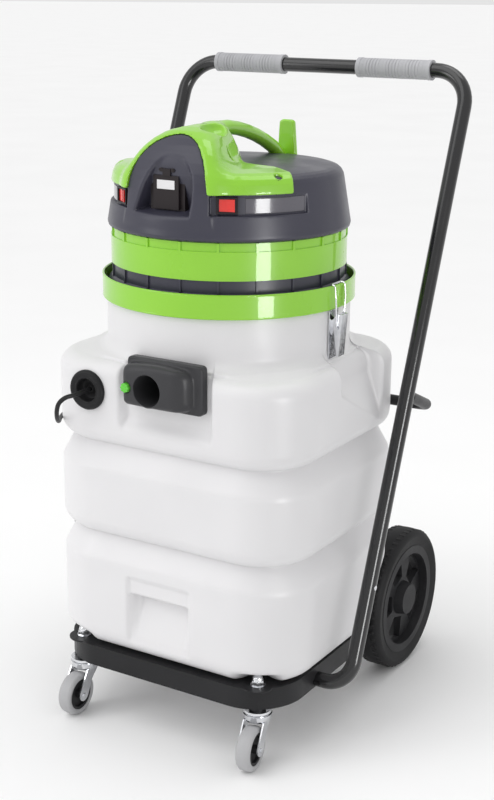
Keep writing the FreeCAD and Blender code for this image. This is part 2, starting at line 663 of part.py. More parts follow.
def make_shell():
    """Green shell: front cap, hood sides and the carrying grip in one moulding."""
    cover = cover_solid(0, COVER_LOW - 1)
    cap = turned(cover_outline(-3.2, COVER_LOW)).cut(cover).common(front_region())
    sides = hood().cut(hood_hollow()).cut(cover)
    grip_line = bent_path([(0, -50, 1077), (0, 40, 1073), (0, 128, 1037), (0, 186, 1000)], [140, 140])
    grip = sweep(grip_line, 14.0).cut(cover)
    shell = cap.fuse([sides, grip]).cut(arch())
    shell = shell.cut(box((-240, 240), (-260, 240), (900, 984)))
    return shell.cut(make_cover_screws())


def make_hook():
    hook = along([(-13, 1005), (27, 1005), (23, 1076), (-9, 1076)], 186, 193)
    hook = hook.makeFillet(2, [e for e in hook.Edges if all(v.Z > 1070 for v in e.Vertexes)])
    return hook.cut(cover_solid(0, COVER_LOW - 1)).cut(make_shell())


def make_band():
    """Green band under the cover, with posts between shallow windows."""
    band = turned([(BAND_R - 3, 846), (BAND_R, 846), (BAND_R, 894), (BAND_R - 2, 894.5), (BAND_R - 2, 908.5),
                   (BAND_R - 5, 908.5), (BAND_R - 5, 890)])
    posts = []
    for i in range(20):
        post = box((BAND_R - 4, BAND_R + 0.4), (-2.2, 2.2), (893, 908.5))
        post.rotate(V(0, 0, 0), V(0, 0, 1), 18 * i + 9)
        posts.append(post)
    return band.fuse(posts)


def make_clamp_ring():
    """Dark ring that stands on the seal and carries the motor plate."""
    ring = turned([(NECK_R - 18, 846), (NECK_R - 18, 796), (NECK_R - 9, 796), (NECK_R - 9, HEAD_LOW),
                   (NECK_R - 1, HEAD_LOW), (NECK_R - 1, 812), (NECK_R - 8.5, 822), (NECK_R - 11, 824),
                   (NECK_R - 11, 846)])
    posts = []
    for i in range(20):
        post = box((BAND_R - 4, BAND_R), (-1.8, 1.8), (822, 846))
        post.rotate(V(0, 0, 0), V(0, 0, 1), 18 * i + 9)
        posts.append(post)
    return ring.fuse(posts)


def make_motor_plate():
    plate = rod(NECK_R - 18, (0, 0, 822), (0, 0, 828))
    holes = [rod(34, (x, 20, 820), (x, 20, 830)) for x in (-85, 85)]
    return plate.cut(holes + [rod(34, (0, -60, 820), (0, -60, 830))])


def make_motors():
    motors = []
    for x in (-85, 85):
        motors.append(turned([(34, 828), (70, 828), (72, 832), (72, 862), (60, 868), (45, 872), (45, 935),
                              ((38, 948), (20, 952)), (0, 952), (0, 860), (34, 860)], (x, 20, 0)))
    return Part.makeCompound(motors)


def make_float_cage():
    """Basket under the suction opening: six bars, a floor and a top ring."""
    cage = turned([(34, 822), (50, 822), (50, 812), (44, 812), (44, 816), (34, 816)], (0, -60, 0))
    cage = cage.fuse(turned([(0, 700), (48, 700), (48, 704), (0, 704)], (0, -60, 0)))
    for i in range(6):
        bar = box((44, 48), (-5, 5), (702, 814))
        bar.rotate(V(0, 0, 0), V(0, 0, 1), 60 * i)
        bar.translate(V(0, -60, 0))
        cage = cage.fuse(bar)
    return cage


def make_float():
    return Part.makeSphere(36, V(0, -60, 704.3 + 36))


def make_socket():
    """Appliance socket in the niche; its front carries the spring lid."""
    body = box((-40, 28), (-182, -168), (953, 1024))
    body = body.cut(rod(19, (-6, -190, 985), (-6, -174, 985)))
    hinge = box((-18, -12), (-188, -182), (1018, 1024)).fuse(box((4, 10), (-188, -182), (1018, 1024)))
    pin = rod(1.5, (-20, -186, 1021), (12, -186, 1021))
    return body.fuse(hinge).fuse(pin)


def make_lid():
    lid = box((-31, 19), (-187.5, -182.4), (957, 1012))
    knuckle = box((-11.5, 3.5), (-189, -183.6), (1011, 1023.4))
    lid = lid.fuse(knuckle)
    return lid.cut(rod(1.55, (-30, -186, 1021), (20, -186, 1021)))


def place_on_wall(shape, angle, radius, z):
    """Turns a piece drawn facing -Y round the head's axis onto the recessed strip."""
    solid = shape.copy()
    solid.translate(V(0, -radius, z))
    solid.rotate(V(0, 0, 0), V(0, 0, 1), angle)
    return solid


def make_bezels():
    bezel = box((-18, 18), (-3.5, 0.3), (-13.5, 13.5)).cut(box((-15, 15), (-5, 5), (-10.5, 10.5)))
    back = box((-18, 18), (0.3, 14), (-13.5, 13.5)).cut(box((-15, 15), (-1, 12), (-10.5, 10.5)))
    pins = rod(1.5, (0, 2.5, -11), (0, 2.5, 11))
    return Part.makeCompound([place_on_wall(bezel.fuse(back).fuse(pins), angle, STRIP_R + 0.6, z)
                              for angle, z in SWITCHES.values()])


def make_rocker(side_name):
    """Rocker cap: a shallow vee that tips about its vertical pin."""
    angle, z = SWITCHES[side_name]
    cap = outline_face([(-12.8, 1.0), (-12.8, -1.2), (0, -2.4), (12.8, -5.2), (12.8, -2.5), (6, 5.5), (-6, 5.5),
                        (-12.8, 1.0)], -10).extrude(V(0, 0, 20))
    cap = cap.cut(rod(1.55, (0, 2.5, -12), (0, 2.5, 12)))
    return place_on_wall(cap, angle, STRIP_R + 0.6, z)


def make_cover_screws():
    """Screws that hold the green shell down, one on each side."""
    screws = []
    for side in SIDES.values():
        screws.append(rod(4.5, (side * 150, -104, 1008), (side * 150, -104, 1023.5)).cut(cover_solid(0)))
    return Part.makeCompound(screws)


def main():
    os.makedirs("parts", exist_ok=True)
    write(make_frame(), "base_frame")
    write(make_tank(), "tank")
    write(make_axle_brackets(), "axle_brackets")
    write(make_axle(), "rear_axle")
    write(make_stems(), "caster_stems")
    write(make_nuts(), "caster_nuts")
    for name, side in SIDES.items():
        tyre, rim = make_wheel(side)
        write(tyre, "rear_tyre_" + name)
        write(rim, "rear_rim_" + name)
        write(make_fork(name), "caster_fork_" + name)
        tyre, hub = make_caster_wheel(name)
        write(tyre, "caster_tyre_" + name)
        write(hub, "caster_hub_" + name)
        write(make_side_tube(side), "handle_tube_" + name)
        write(make_latch_base(side), "latch_base_" + name)
        write(make_lever(side), "latch_lever_" + name)
        write(make_bail(side), "latch_bail_" + name)
        write(make_rocker(name), "rocker_" + name)
    write(make_bow(), "handle_bow")
    write(make_sleeves(), "handle_spigots")
    write(make_bolts(), "handle_bolts")
    write(make_grip(-236, -84), "grip_left")
    write(make_grip(77, 228), "grip_right")
    write(make_rear_bar(), "rear_bar")
    write(make_collar(), "collar_ring")
    write(make_seal(), "tank_seal")
    write(make_inlet_plate(), "inlet_plate")
    write(make_inlet_housing(), "inlet_housing")
    write(make_inlet_sleeve(), "inlet_sleeve")
    write(make_button(), "release_button")
    write(make_grommet(), "cable_grommet")
    write(make_pump(), "pump_body")
    write(make_riser(), "riser_pipe")
    write(make_outlet(), "drain_outlet")
    write(make_hose(), "drain_hose")
    write(make_hose_cap(), "hose_cap")
    write(make_hose_clips(), "hose_clips")
    write(make_lead(), "pump_lead")
    write(make_plug(), "pump_plug")
    write(make_cover(), "motor_cover")
    write(make_shell(), "handle_shell")
    write(make_hook(), "cable_hook")
    write(make_band(), "head_band")
    write(make_clamp_ring(), "clamp_ring")
    write(make_motor_plate(), "motor_plate")
    write(make_motors(), "fan_motors")
    write(make_float_cage(), "float_cage")
    write(make_float(), "float_ball")
    write(make_socket(), "socket_body")
    write(make_lid(), "socket_lid")
    write(make_bezels(), "switch_bezels")
    write(make_cover_screws(), "cover_screws")


main()
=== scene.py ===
import bmesh
import bpy
import json
import math
import numpy as np
from mathutils import Matrix, Vector

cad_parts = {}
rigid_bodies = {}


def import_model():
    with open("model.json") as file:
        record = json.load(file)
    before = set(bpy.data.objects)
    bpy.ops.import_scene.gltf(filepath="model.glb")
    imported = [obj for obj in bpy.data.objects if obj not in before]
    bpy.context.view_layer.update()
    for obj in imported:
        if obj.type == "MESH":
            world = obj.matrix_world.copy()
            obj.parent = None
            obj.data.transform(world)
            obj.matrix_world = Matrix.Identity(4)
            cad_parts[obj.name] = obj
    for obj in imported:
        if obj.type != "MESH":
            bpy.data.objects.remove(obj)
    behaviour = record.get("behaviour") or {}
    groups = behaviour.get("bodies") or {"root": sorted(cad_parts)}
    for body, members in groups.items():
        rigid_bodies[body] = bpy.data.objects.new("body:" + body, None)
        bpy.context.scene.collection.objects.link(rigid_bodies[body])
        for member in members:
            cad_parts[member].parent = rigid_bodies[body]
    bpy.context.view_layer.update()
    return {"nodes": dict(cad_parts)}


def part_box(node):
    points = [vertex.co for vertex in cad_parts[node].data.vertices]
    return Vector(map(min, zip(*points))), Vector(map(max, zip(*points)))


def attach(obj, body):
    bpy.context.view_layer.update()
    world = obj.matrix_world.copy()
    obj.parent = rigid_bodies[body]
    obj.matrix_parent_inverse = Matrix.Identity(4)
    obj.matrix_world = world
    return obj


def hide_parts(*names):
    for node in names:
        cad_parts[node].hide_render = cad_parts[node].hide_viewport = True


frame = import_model()
print("stage: frame loaded", len(frame["nodes"]), "nodes")

# The head's axis stands behind the middle of the machine by this much.
headY = (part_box("collar_ring")[0].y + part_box("collar_ring")[1].y) / 2


def addObject(name, data):
    # an object of this data, put into the scene
    made = bpy.data.objects.new(name, data)
    bpy.context.scene.collection.objects.link(made)
    return made


class Wire:
    # wraps a socket: arithmetic on it adds Math nodes
    def __init__(self, tree, socket=None):
        self.tree = tree
        self.socket = socket

    def add(self, kind, settings=None, inputs=None, out=0):
        node = self.tree.nodes.new(kind)
        for key, value in (settings or {}).items():
            if key == "stops":
                setStops(node.color_ramp, value)
            else:
                setattr(node, key, value)
        for key, value in (inputs or {}).items():
            if isinstance(value, Wire):
                self.tree.links.new(value.socket, node.inputs[key])
            else:
                node.inputs[key].default_value = value
        return Wire(self.tree, node.outputs[out])

    def calc(self, operation, *values):
        return self.add("ShaderNodeMath", {"operation": operation}, dict(enumerate(values)))

    def __add__(self, other): return self.calc("ADD", self, other)
    def __radd__(self, other): return self.calc("ADD", other, self)
    def __sub__(self, other): return self.calc("SUBTRACT", self, other)
    def __rsub__(self, other): return self.calc("SUBTRACT", other, self)
    def __mul__(self, other): return self.calc("MULTIPLY", self, other)
    def __rmul__(self, other): return self.calc("MULTIPLY", other, self)
    def __truediv__(self, other): return self.calc("DIVIDE", self, other)
    def __pow__(self, other): return self.calc("POWER", self, other)

    def noise(self, scale, detail=3.0, rough=0.5):
        return self.add("ShaderNodeTexNoise", {}, {"Vector": self, "Scale": scale, "Detail": detail,
                                                   "Roughness": rough})

    def ramp(self, low, high, first=0.0, last=1.0):
        return self.add("ShaderNodeMapRange", {}, {"Value": self, "From Min": low, "From Max": high,
                                                   "To Min": first, "To Max": last})

    def tint(self, dark, light):
        # a colour between two, by this value
        return self.add("ShaderNodeMix", {"data_type": "RGBA"},
                        {"Factor": self, 6: (*dark, 1), 7: (*light, 1)}, 2)

    def bump(self, strength, distance):
        return self.add("ShaderNodeBump", {}, {"Height": self, "Strength": strength, "Distance": distance})


def setStops(ramp, stops):
    while len(ramp.elements) < len(stops):
        ramp.elements.new(0.5)
    for element, (place, colour) in zip(ramp.elements, stops):
        element.position = place
        element.color = colour


def finish(name, fixed, varying=None):
    # a Principled material: fixed values on its sockets, and varying ones from a function of position
    mat = bpy.data.materials.new(name)
    mat.use_nodes = True
    tree = mat.node_tree
    shader = tree.nodes["Principled BSDF"]
    for key, value in fixed.items():
        shader.inputs[key].default_value = value
    place = Wire(tree).add("ShaderNodeTexCoord", out=3)
    for key, value in (varying(place) if varying else {}).items():
        tree.links.new(value.socket, shader.inputs[key])
    return mat


def dress(nodes, mat):
    for name in nodes:
        mesh = frame["nodes"][name].data
        mesh.materials.clear()
        mesh.materials.append(mat)


def plasticFinish(name, dark, light, rough, grainScale, grainDepth, fixed=None, smudge=0.08):
    def varying(place):
        broad = place.noise(6.0, 2.0)
        fine = place.noise(grainScale, 2.0)
        return {"Base Color": (broad * 0.7 + fine * 0.3).ramp(0.3, 0.7).tint(dark, light),
                "Roughness": place.noise(14.0, 4.0).ramp(0.35, 0.7, rough - smudge / 2, rough + smudge),
                "Normal": fine.bump(0.25, grainDepth)}
    values = {"Specular IOR Level": 0.5}
    values.update(fixed or {})
    return finish(name, values, varying)


def metalFinish(name, dark, light, rough, brush):
    def varying(place):
        streak = place.noise(brush, 3.0)
        patch = place.noise(30.0, 3.0)
        return {"Base Color": patch.ramp(0.35, 0.65).tint(dark, light),
                "Roughness": streak.ramp(0.3, 0.7, rough * 0.7, rough * 1.4),
                "Normal": streak.bump(0.08, 0.0003)}
    return finish(name, {"Metallic": 1.0}, varying)


dull = {"Specular IOR Level": 0.2}
tankWhite = plasticFinish("tankWhite", (0.735, 0.728, 0.74), (0.775, 0.768, 0.778), 0.34, 700.0, 0.0002,
                          {"Subsurface Weight": 0.12, "Subsurface Radius": (0.02, 0.02, 0.02),
                           "Subsurface Scale": 0.3, "Specular IOR Level": 0.4})
limeGreen = plasticFinish("limeGreen", (0.25, 0.59, 0.022), (0.29, 0.65, 0.032), 0.3, 900.0, 0.00006,
                          {"Specular IOR Level": 0.3, "Coat Weight": 0.8, "Coat Roughness": 0.04})
coverGrey = plasticFinish("coverGrey", (0.034, 0.034, 0.052), (0.046, 0.045, 0.067), 0.36, 1400.0, 0.00012,
                          {"Specular IOR Level": 0.4, "Coat Weight": 0.1, "Coat Roughness": 0.25})
# glossy switch bands: their base grey, lighter than the cover, is partly own colour and partly a painted
# reflection of the side lamp
bandGlossAndSheen = plasticFinish("bandGlossAndSheen", (0.085, 0.080, 0.100), (0.10, 0.095, 0.118), 0.12, 300.0, 0.00003,
                          {"Coat Weight": 0.7, "Coat Roughness": 0.06})
labelWhite = plasticFinish("labelWhite", (0.74, 0.73, 0.74), (0.80, 0.79, 0.80), 0.45, 2000.0, 0.00003)
socketBlack = plasticFinish("socketBlack", (0.018, 0.014, 0.015), (0.028, 0.022, 0.024), 0.36, 1200.0,
                          0.0001, dull)
inletBlack = plasticFinish("inletBlack", (0.040, 0.040, 0.043), (0.054, 0.054, 0.058), 0.32, 1300.0,
                          0.0001, dull)
innerBlack = plasticFinish("innerBlack", (0.02, 0.02, 0.022), (0.032, 0.032, 0.034), 0.5, 900.0,
                          0.0001, dull)
powderBlack = plasticFinish("powderBlack", (0.014, 0.014, 0.015), (0.024, 0.024, 0.026), 0.34, 2600.0,
                          0.00035, dull)
glossTube = plasticFinish("glossTube", (0.008, 0.008, 0.009), (0.014, 0.014, 0.015), 0.20, 400.0, 0.00005,
                          {"Specular IOR Level": 0.35, "Coat Weight": 0.5, "Coat Roughness": 0.12})
gripGrey = plasticFinish("gripGrey", (0.39, 0.39, 0.41), (0.46, 0.46, 0.48), 0.55, 1500.0, 0.0002)
tyreGrey = plasticFinish("tyreGrey", (0.38, 0.38, 0.39), (0.46, 0.46, 0.47), 0.55, 1500.0, 0.0002)
rubberBlack = plasticFinish("rubberBlack", (0.010, 0.010, 0.011), (0.02, 0.02, 0.021), 0.48, 1500.0,
                          0.0003, dull)
tyreBlack = plasticFinish("tyreBlack", (0.012, 0.012, 0.013), (0.024, 0.024, 0.025), 0.6, 900.0,
                          0.0004, dull)
leadBlack = plasticFinish("leadBlack", (0.013, 0.013, 0.014), (0.025, 0.025, 0.026), 0.42, 1500.0,
                          0.00015, dull)
rockerRed = plasticFinish("rockerRed", (0.62, 0.012, 0.01), (0.78, 0.03, 0.02), 0.2, 800.0, 0.00005,
                          {"Coat Weight": 0.4, "Emission Strength": 0.05,
                           "Emission Color": (1.0, 0.05, 0.03, 1)})
buttonGreen = plasticFinish("buttonGreen", (0.11, 0.55, 0.045), (0.15, 0.66, 0.06), 0.3, 900.0, 0.0001)
floatOrange = plasticFinish("floatOrange", (0.6, 0.18, 0.02), (0.7, 0.24, 0.03), 0.4, 900.0, 0.0001)
zincBright = metalFinish("zincBright", (0.62, 0.63, 0.66), (0.80, 0.81, 0.83), 0.16, 160.0)
steelTurned = metalFinish("steelTurned", (0.45, 0.46, 0.48), (0.60, 0.61, 0.62), 0.3, 400.0)

sideNames = ("left", "right")
dress(["tank"], tankWhite)
dress(["collar_ring", "head_band", "handle_shell", "cable_hook"], limeGreen)
dress(["motor_cover", "clamp_ring"], coverGrey)
dress(["socket_body", "socket_lid", "switch_bezels"], socketBlack)
dress(["inlet_plate", "inlet_housing", "inlet_sleeve", "drain_outlet", "hose_cap", "hose_clips",
       "pump_plug"], inletBlack)
dress(["motor_plate", "float_cage", "pump_body", "riser_pipe", "drain_hose"], innerBlack)
dress(["base_frame", "axle_brackets", "rear_bar"], powderBlack)
dress(["handle_bow", "handle_tube_left", "handle_tube_right"], glossTube)
dress(["grip_left", "grip_right"], gripGrey)
dress(["cable_grommet", "tank_seal", "pump_lead"], rubberBlack)
dress(["release_button"], buttonGreen)
dress(["float_ball"], floatOrange)
dress(["rear_axle", "handle_spigots", "fan_motors"], steelTurned)
dress(["caster_stems", "caster_nuts", "handle_bolts", "cover_screws"], zincBright)
for side in sideNames:
    for name in ("caster_fork_", "latch_base_", "latch_lever_", "latch_bail_"):
        dress([name + side], zincBright)
    dress(["caster_tyre_" + side], tyreGrey)
    dress(["caster_hub_" + side, "rear_rim_" + side], innerBlack)
    dress(["rear_tyre_" + side], tyreBlack)
    dress(["rocker_" + side], rockerRed)
print("stage: finishes")


leadSizes = {"radius": 0.004, "length": 0.906}
leadRoute = [(-141, -230, 637), (-142, -250, 636), (-146, -270, 634), (-154, -282, 632), (-164, -288, 622),
             (-171, -285, 606), (-179, -275, 590), (-191, -257, 577), (-210, -231, 568), (-237, -195, 560),
             (-265, -147, 553), (-297, -93, 547), (-323, -36, 539), (-330, 26, 532), (-330, 90, 530),
             (-329, 150, 537), (-325, 196, 556), (-312, 232, 583), (-289, 262, 588), (-270, 284, 566),
             (-264, 292, 522), (-267, 289, 462), (-267, 289, 402)]


def makeLead(sizes, route):
    curve = bpy.data.curves.new("pumpLead", "CURVE")
    curve.dimensions = "3D"
    curve.bevel_depth = sizes["radius"]
    curve.bevel_resolution = 6
    curve.resolution_u = 12
    curve.use_fill_caps = True
    line = curve.splines.new("NURBS")
    line.points.add(len(route) - 1)
    for point, (x, y, z) in zip(line.points, route):
        point.co = (x / 1000, y / 1000 + headY, z / 1000, 1)
    line.order_u = 3
    line.use_endpoint_u = True
    curve.materials.append(leadBlack)
    return addObject("pumpLead", curve)


pumpLead = makeLead(leadSizes, leadRoute)
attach(pumpLead, "chassis")
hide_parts("pump_lead")
print("stage: pump lead")


# Every field below is a signed distance in metres, placed about the head's axis.
def smoothMin(a, b, blend):
    h = np.maximum(blend - np.abs(a - b), 0) / blend
    return np.minimum(a, b) - h * h * blend / 4


def smoothMax(a, b, blend):
    return -smoothMin(-a, -b, blend)


def millimetres(points):
    return [tuple(c / 1000 for c in point) for point in points]


def bothSides(half):
    # a closed outline from its right half, listed from the bottom to the top
    return millimetres(half + [(-x, z) for x, z in reversed(half) if x])


def outlineField(points, u, v):
    # signed distance to a closed outline
    gap = np.full(np.broadcast(u, v).shape, 1e9)
    inside = np.zeros(gap.shape, bool)
    for (au, av), (bu, bv) in zip(points, points[1:] + points[:1]):
        du, dv = bu - au, bv - av
        t = np.clip(((u - au) * du + (v - av) * dv) / (du * du + dv * dv), 0, 1)
        gap = np.minimum(gap, (u - au - t * du) ** 2 + (v - av - t * dv) ** 2)
        if dv:
            inside ^= ((av > v) != (bv > v)) & (u < au + (v - av) * du / dv)
    return np.where(inside, -1, 1) * np.sqrt(gap)


def blockField(x, y, z, low, high, corner):
    # a box with rounded edges
    middle = [(a + b) / 2 for a, b in zip(low, high)]
    half = [(b - a) / 2 - corner for a, b in zip(low, high)]
    away = [np.abs(c - m) - h for c, m, h in zip((x, y, z), middle, half)]
    outer = np.sqrt(sum(np.maximum(a, 0) ** 2 for a in away))
    return outer + np.minimum(np.maximum(np.maximum(away[0], away[1]), away[2]), 0) - corner


def roundedField(u, v, low, high, corner):
    # a flat rectangle with round corners
    du = np.abs(u - (low[0] + high[0]) / 2) - (high[0] - low[0]) / 2 + corner
    dv = np.abs(v - (low[1] + high[1]) / 2) - (high[1] - low[1]) / 2 + corner
    return np.hypot(np.maximum(du, 0), np.maximum(dv, 0)) + np.minimum(np.maximum(du, dv), 0) - corner


def pathField(x, y, z, points, radius):
    # a round bar along a line of points
    gap = np.full(x.shape, 1e9)
    for a, b in zip(points, points[1:]):
        step = [q - p for p, q in zip(a, b)]
        along = (x - a[0]) * step[0] + (y - a[1]) * step[1] + (z - a[2]) * step[2]
        along = np.clip(along / sum(s * s for s in step), 0, 1)
        gap = np.minimum(gap, sum((c - p - along * s) ** 2 for c, p, s in zip((x, y, z), a, step)))
    return np.sqrt(gap) - radius


def slopeOf(field, points, reach):
    # the field's gradient at each point
    grad = np.empty_like(points)
    for axis in range(3):
        shift = np.zeros(3)
        shift[axis] = reach
        grad[:, axis] = (field(*(points + shift).T) - field(*(points - shift).T)) / (2 * reach)
    return grad


def surfaceNet(field, low, high, step):
    # one vertex in each cell that the surface crosses, pulled onto the surface
    low = np.array(low)
    axes = [np.arange(low[i], high[i] + step, step) for i in range(3)]
    inside = field(*np.meshgrid(*axes, indexing="ij")) < 0
    cells = np.array(inside.shape) - 1
    filled = np.zeros(cells, int)
    for i in (0, 1):
        for j in (0, 1):
            for k in (0, 1):
                filled += inside[i:i + cells[0], j:j + cells[1], k:k + cells[2]]
    mixed = (filled > 0) & (filled < 8)
    number = np.full(cells, -1)
    number[mixed] = np.arange(mixed.sum())
    start = low + (np.argwhere(mixed) + 0.5) * step
    points = start.copy()
    for _ in range(5):
        grad = slopeOf(field, points, step * 0.1)
        away = field(*points.T) / np.maximum((grad ** 2).sum(1), 0.2)
        points -= away[:, None] * grad
        points = np.clip(points, start - step * 0.75, start + step * 0.75)
    quads = []
    for axis in range(3):
        b, c = (axis + 1) % 3, (axis + 2) % 3
        flat = np.moveaxis(inside, (axis, b, c), (0, 1, 2))
        names = np.moveaxis(number, (axis, b, c), (0, 1, 2))
        crossing = flat[:-1, 1:-1, 1:-1] != flat[1:, 1:-1, 1:-1]
        i, j, k = np.nonzero(crossing)
        ring = np.stack([names[i, j + 1, k + 1], names[i, j, k + 1], names[i, j, k], names[i, j + 1, k]], 1)
        outward = flat[i, j + 1, k + 1]
        quads.append(np.where(outward[:, None], ring, ring[:, ::-1]))
    return points, np.concatenate(quads)


def addMesh(name, points, faces, mat, normals=None):
    mesh = bpy.data.meshes.new(name)
    mesh.from_pydata([tuple(p) for p in points], [], [tuple(f) for f in faces])
    mesh.polygons.foreach_set("use_smooth", [True] * len(mesh.polygons))
    mesh.update()
    if normals is not None:
        mesh.normals_split_custom_set_from_vertices([tuple(n) for n in normals])
    mesh.materials.append(mat)
    return addObject(name, mesh)


def settle(piece, body, slot, *replaced):
    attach(piece, body)
    if replaced:
        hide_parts(*replaced)
    return piece


def addField(name, field, low, high, step, mat):
    # the mesh of a field, placed about the head's axis and shaded by the field's own slope
    points, faces = surfaceNet(field, [v / 1000 for v in low], [v / 1000 for v in high], step)
    grad = slopeOf(field, points, step * 0.25)
    grad /= np.linalg.norm(grad, axis=1)[:, None] + 1e-9
    points[:, 1] += headY
    piece = addMesh(name, points, faces.tolist(), mat, grad)
    print("stage:", name, len(points), "vertices")
    return piece


def bake(piece):
    # the evaluated mesh in place of the piece's modifiers
    graph = bpy.context.evaluated_depsgraph_get()
    mesh = bpy.data.meshes.new_from_object(piece.evaluated_get(graph))
    piece.modifiers.clear()
    piece.data = mesh
    return piece


def ease(value, low, high):
    # 0 below low, 1 above high, smooth between
    t = np.clip((value - low) / (high - low), 0, 1)
    return t * t * (3 - 2 * t)


def within(value, low, high, soft):
    # 1 between low and high, falling to 0 over soft at both ends
    return ease(value, low - soft / 2, low + soft / 2) * (1 - ease(value, high - soft / 2, high + soft / 2))


tankSizes = {"half": 0.2405, "front": -0.2165, "rear": 0.2005, "cornerFront": 0.094, "cornerRear": 0.080,
             "bulge": 0.0175, "low": 0.147, "grooves": (0.369, 0.540), "wallTop": 0.662, "shoulder": 0.690,
             "neck": 0.217, "neckTop": 0.800, "rim": 0.0055, "lip": 0.0012, "pivot": 0.04, "middle": -0.02,
             "floor": 0.160, "inset": 0.028, "columns": 396}
tankHoles = {"grommetHole": (0.0243, -0.141, 0.637), "inletHole": (0.0302, 0.004, 0.663)}

# Hollows pressed into the tank's wall: where they lie, how deep they are and how soft their edges are.
hollows = {"lip": {"half": 0.065, "low": 0.180, "high": 0.302, "soft": 0.006, "softUp": 0.007,
                   "deep": 0.005},
           "pocket": {"half": 0.057, "low": 0.186, "rise": 0.082, "top": 0.266, "lid": 0.272, "soft": 0.014,
                      "deep": 0.027},
           "panel": {"left": -0.073, "right": 0.110, "low": 0.572, "full": 0.600, "soft": 0.010,
                     "deep": 0.014},
           "latch": {"front": -0.044, "rear": 0.108, "foot": 0.642, "slant": 0.085, "from": -0.042,
                     "run": 0.15, "full": 0.650, "soft": 0.008, "deep": 0.030},
           "notch": {"x": 0.189, "y": -0.202, "core": 0.012, "reach": 0.048, "low": 0.158, "high": 0.178,
                     "deep": 0.034}}


def tankOutline(sizes, count):
    # points and outward normals round the tank's plan, evenly spaced, from the middle of the front
    half, front, rear = sizes["half"], sizes["front"], sizes["rear"]
    rf, rr = sizes["cornerFront"], sizes["cornerRear"]
    runs = [(half - rf, 0), (rf * math.pi / 2, rf), (rear - front - rf - rr, 0), (rr * math.pi / 2, rr),
            (half - rr, 0)]
    total = sum(run[0] for run in runs)
    right = []
    for s in np.linspace(0, total, count // 2 + 1):
        x, y, turn = 0.0, front, 0.0
        for run, bend in runs:
            part = min(s, run)
            if bend:
                angle = part / bend
                cx, cy = x - bend * math.sin(turn), y + bend * math.cos(turn)
                turn += angle
                x, y = cx + bend * math.sin(turn), cy - bend * math.cos(turn)
            else:
                x, y = x + part * math.cos(turn), y + part * math.sin(turn)
            s -= part
            if s <= 1e-12:
                break
        right.append((x, y, math.sin(turn), -math.cos(turn)))
    left = [(-x, y, -nx, ny) for x, y, nx, ny in reversed(right[1:-1])]
    return np.array(right + left)


def lobeOffset(z, sizes):
    # how far the wall stands out: each lobe slopes out below its groove and rolls under at its foot
    slope, roll, foot, footDepth, blend, beyond = 0.046, 0.030, 0.042, 0.042, 0.12, 9.0
    low, first, second = sizes["low"], *sizes["grooves"]
    top = np.where(z < first, first, np.where(z < second, second, beyond))
    base = np.where(z < first, -beyond, np.where(z < second, first, second))
    deep = 0.45    # the groove's floor, as a share of the bulge behind the plain wall
    out = smoothMin((1 + deep) * (top - z) / slope - deep, np.ones_like(z), blend)
    s = np.clip((z - base) / roll, 0, 1)
    out = np.minimum(out, (1 + deep) * np.sqrt(1 - (1 - s) ** 2) - deep)
    t = np.clip((z - low) / foot, 0, 1)
    return sizes["bulge"] * out - footDepth * (1 - np.sqrt(1 - (1 - t) ** 2))


def pressedIn(x, y, z, nx, ny):
    # depth of everything pressed into the wall
    facing = 0.6
    front = (ny < -facing) & (y < 0)
    side = np.abs(nx) > facing
    s = hollows["lip"]
    lip = s["deep"] * within(x, -s["half"], s["half"], s["soft"])
    lip = lip * within(z, s["low"], s["high"], s["softUp"])
    s = hollows["pocket"]
    pocket = within(x, -s["half"], s["half"], s["soft"]) * np.clip((z - s["low"]) / s["rise"], 0, 1)
    pocket = s["deep"] * (pocket * (1 - ease(z, s["top"], s["lid"])))
    s = hollows["panel"]
    panel = s["deep"] * within(x, s["left"], s["right"], s["soft"]) * ease(z, s["low"], s["full"])
    s = hollows["latch"]
    start = s["foot"] - s["slant"] * np.clip((y - s["from"]) / s["run"], 0, 1)    # slants down to the rear
    latch = s["deep"] * within(y, s["front"], s["rear"], s["soft"])
    latch = latch * np.clip((z - start) / (s["full"] - start), 0, 1)
    s = hollows["notch"]
    nut = np.hypot(np.abs(x) - s["x"], y - s["y"])
    notch = s["deep"] * (1 - ease(nut, s["core"], s["reach"])) * (1 - ease(z, s["low"], s["high"]))
    return front * (lip + pocket + panel) + side * latch + notch


def rearLimit(z):
    # the rear wheels and their axle stand in a hollow of this outline
    axleY, axleZ, clear, flat, blend = 0.285, 0.140, 0.150, 0.219, 0.03
    reach = np.sqrt(np.maximum(clear ** 2 - (z - axleZ) ** 2, 0))
    return smoothMin(axleY - reach, np.full_like(z, flat), blend)


def tankWall(sizes, outline, z):
    x, y, nx, ny = outline.T
    stand = lobeOffset(z, sizes)[:, None]
    zz = z[:, None] + 0 * x
    depth = pressedIn(x + 0 * zz, y + 0 * zz, zz, nx + 0 * zz, ny + 0 * zz)
    px, py = x + nx * (stand - depth), y + ny * (stand - depth)
    pivot, rear = sizes["pivot"], sizes["rear"] + sizes["bulge"]
    squeeze = (rearLimit(z)[:, None] - pivot) / (rear - pivot)
    py = np.where(py > pivot, pivot + (py - pivot) * np.minimum(squeeze, 1), py)
    return np.stack([px, py, zz], 2)


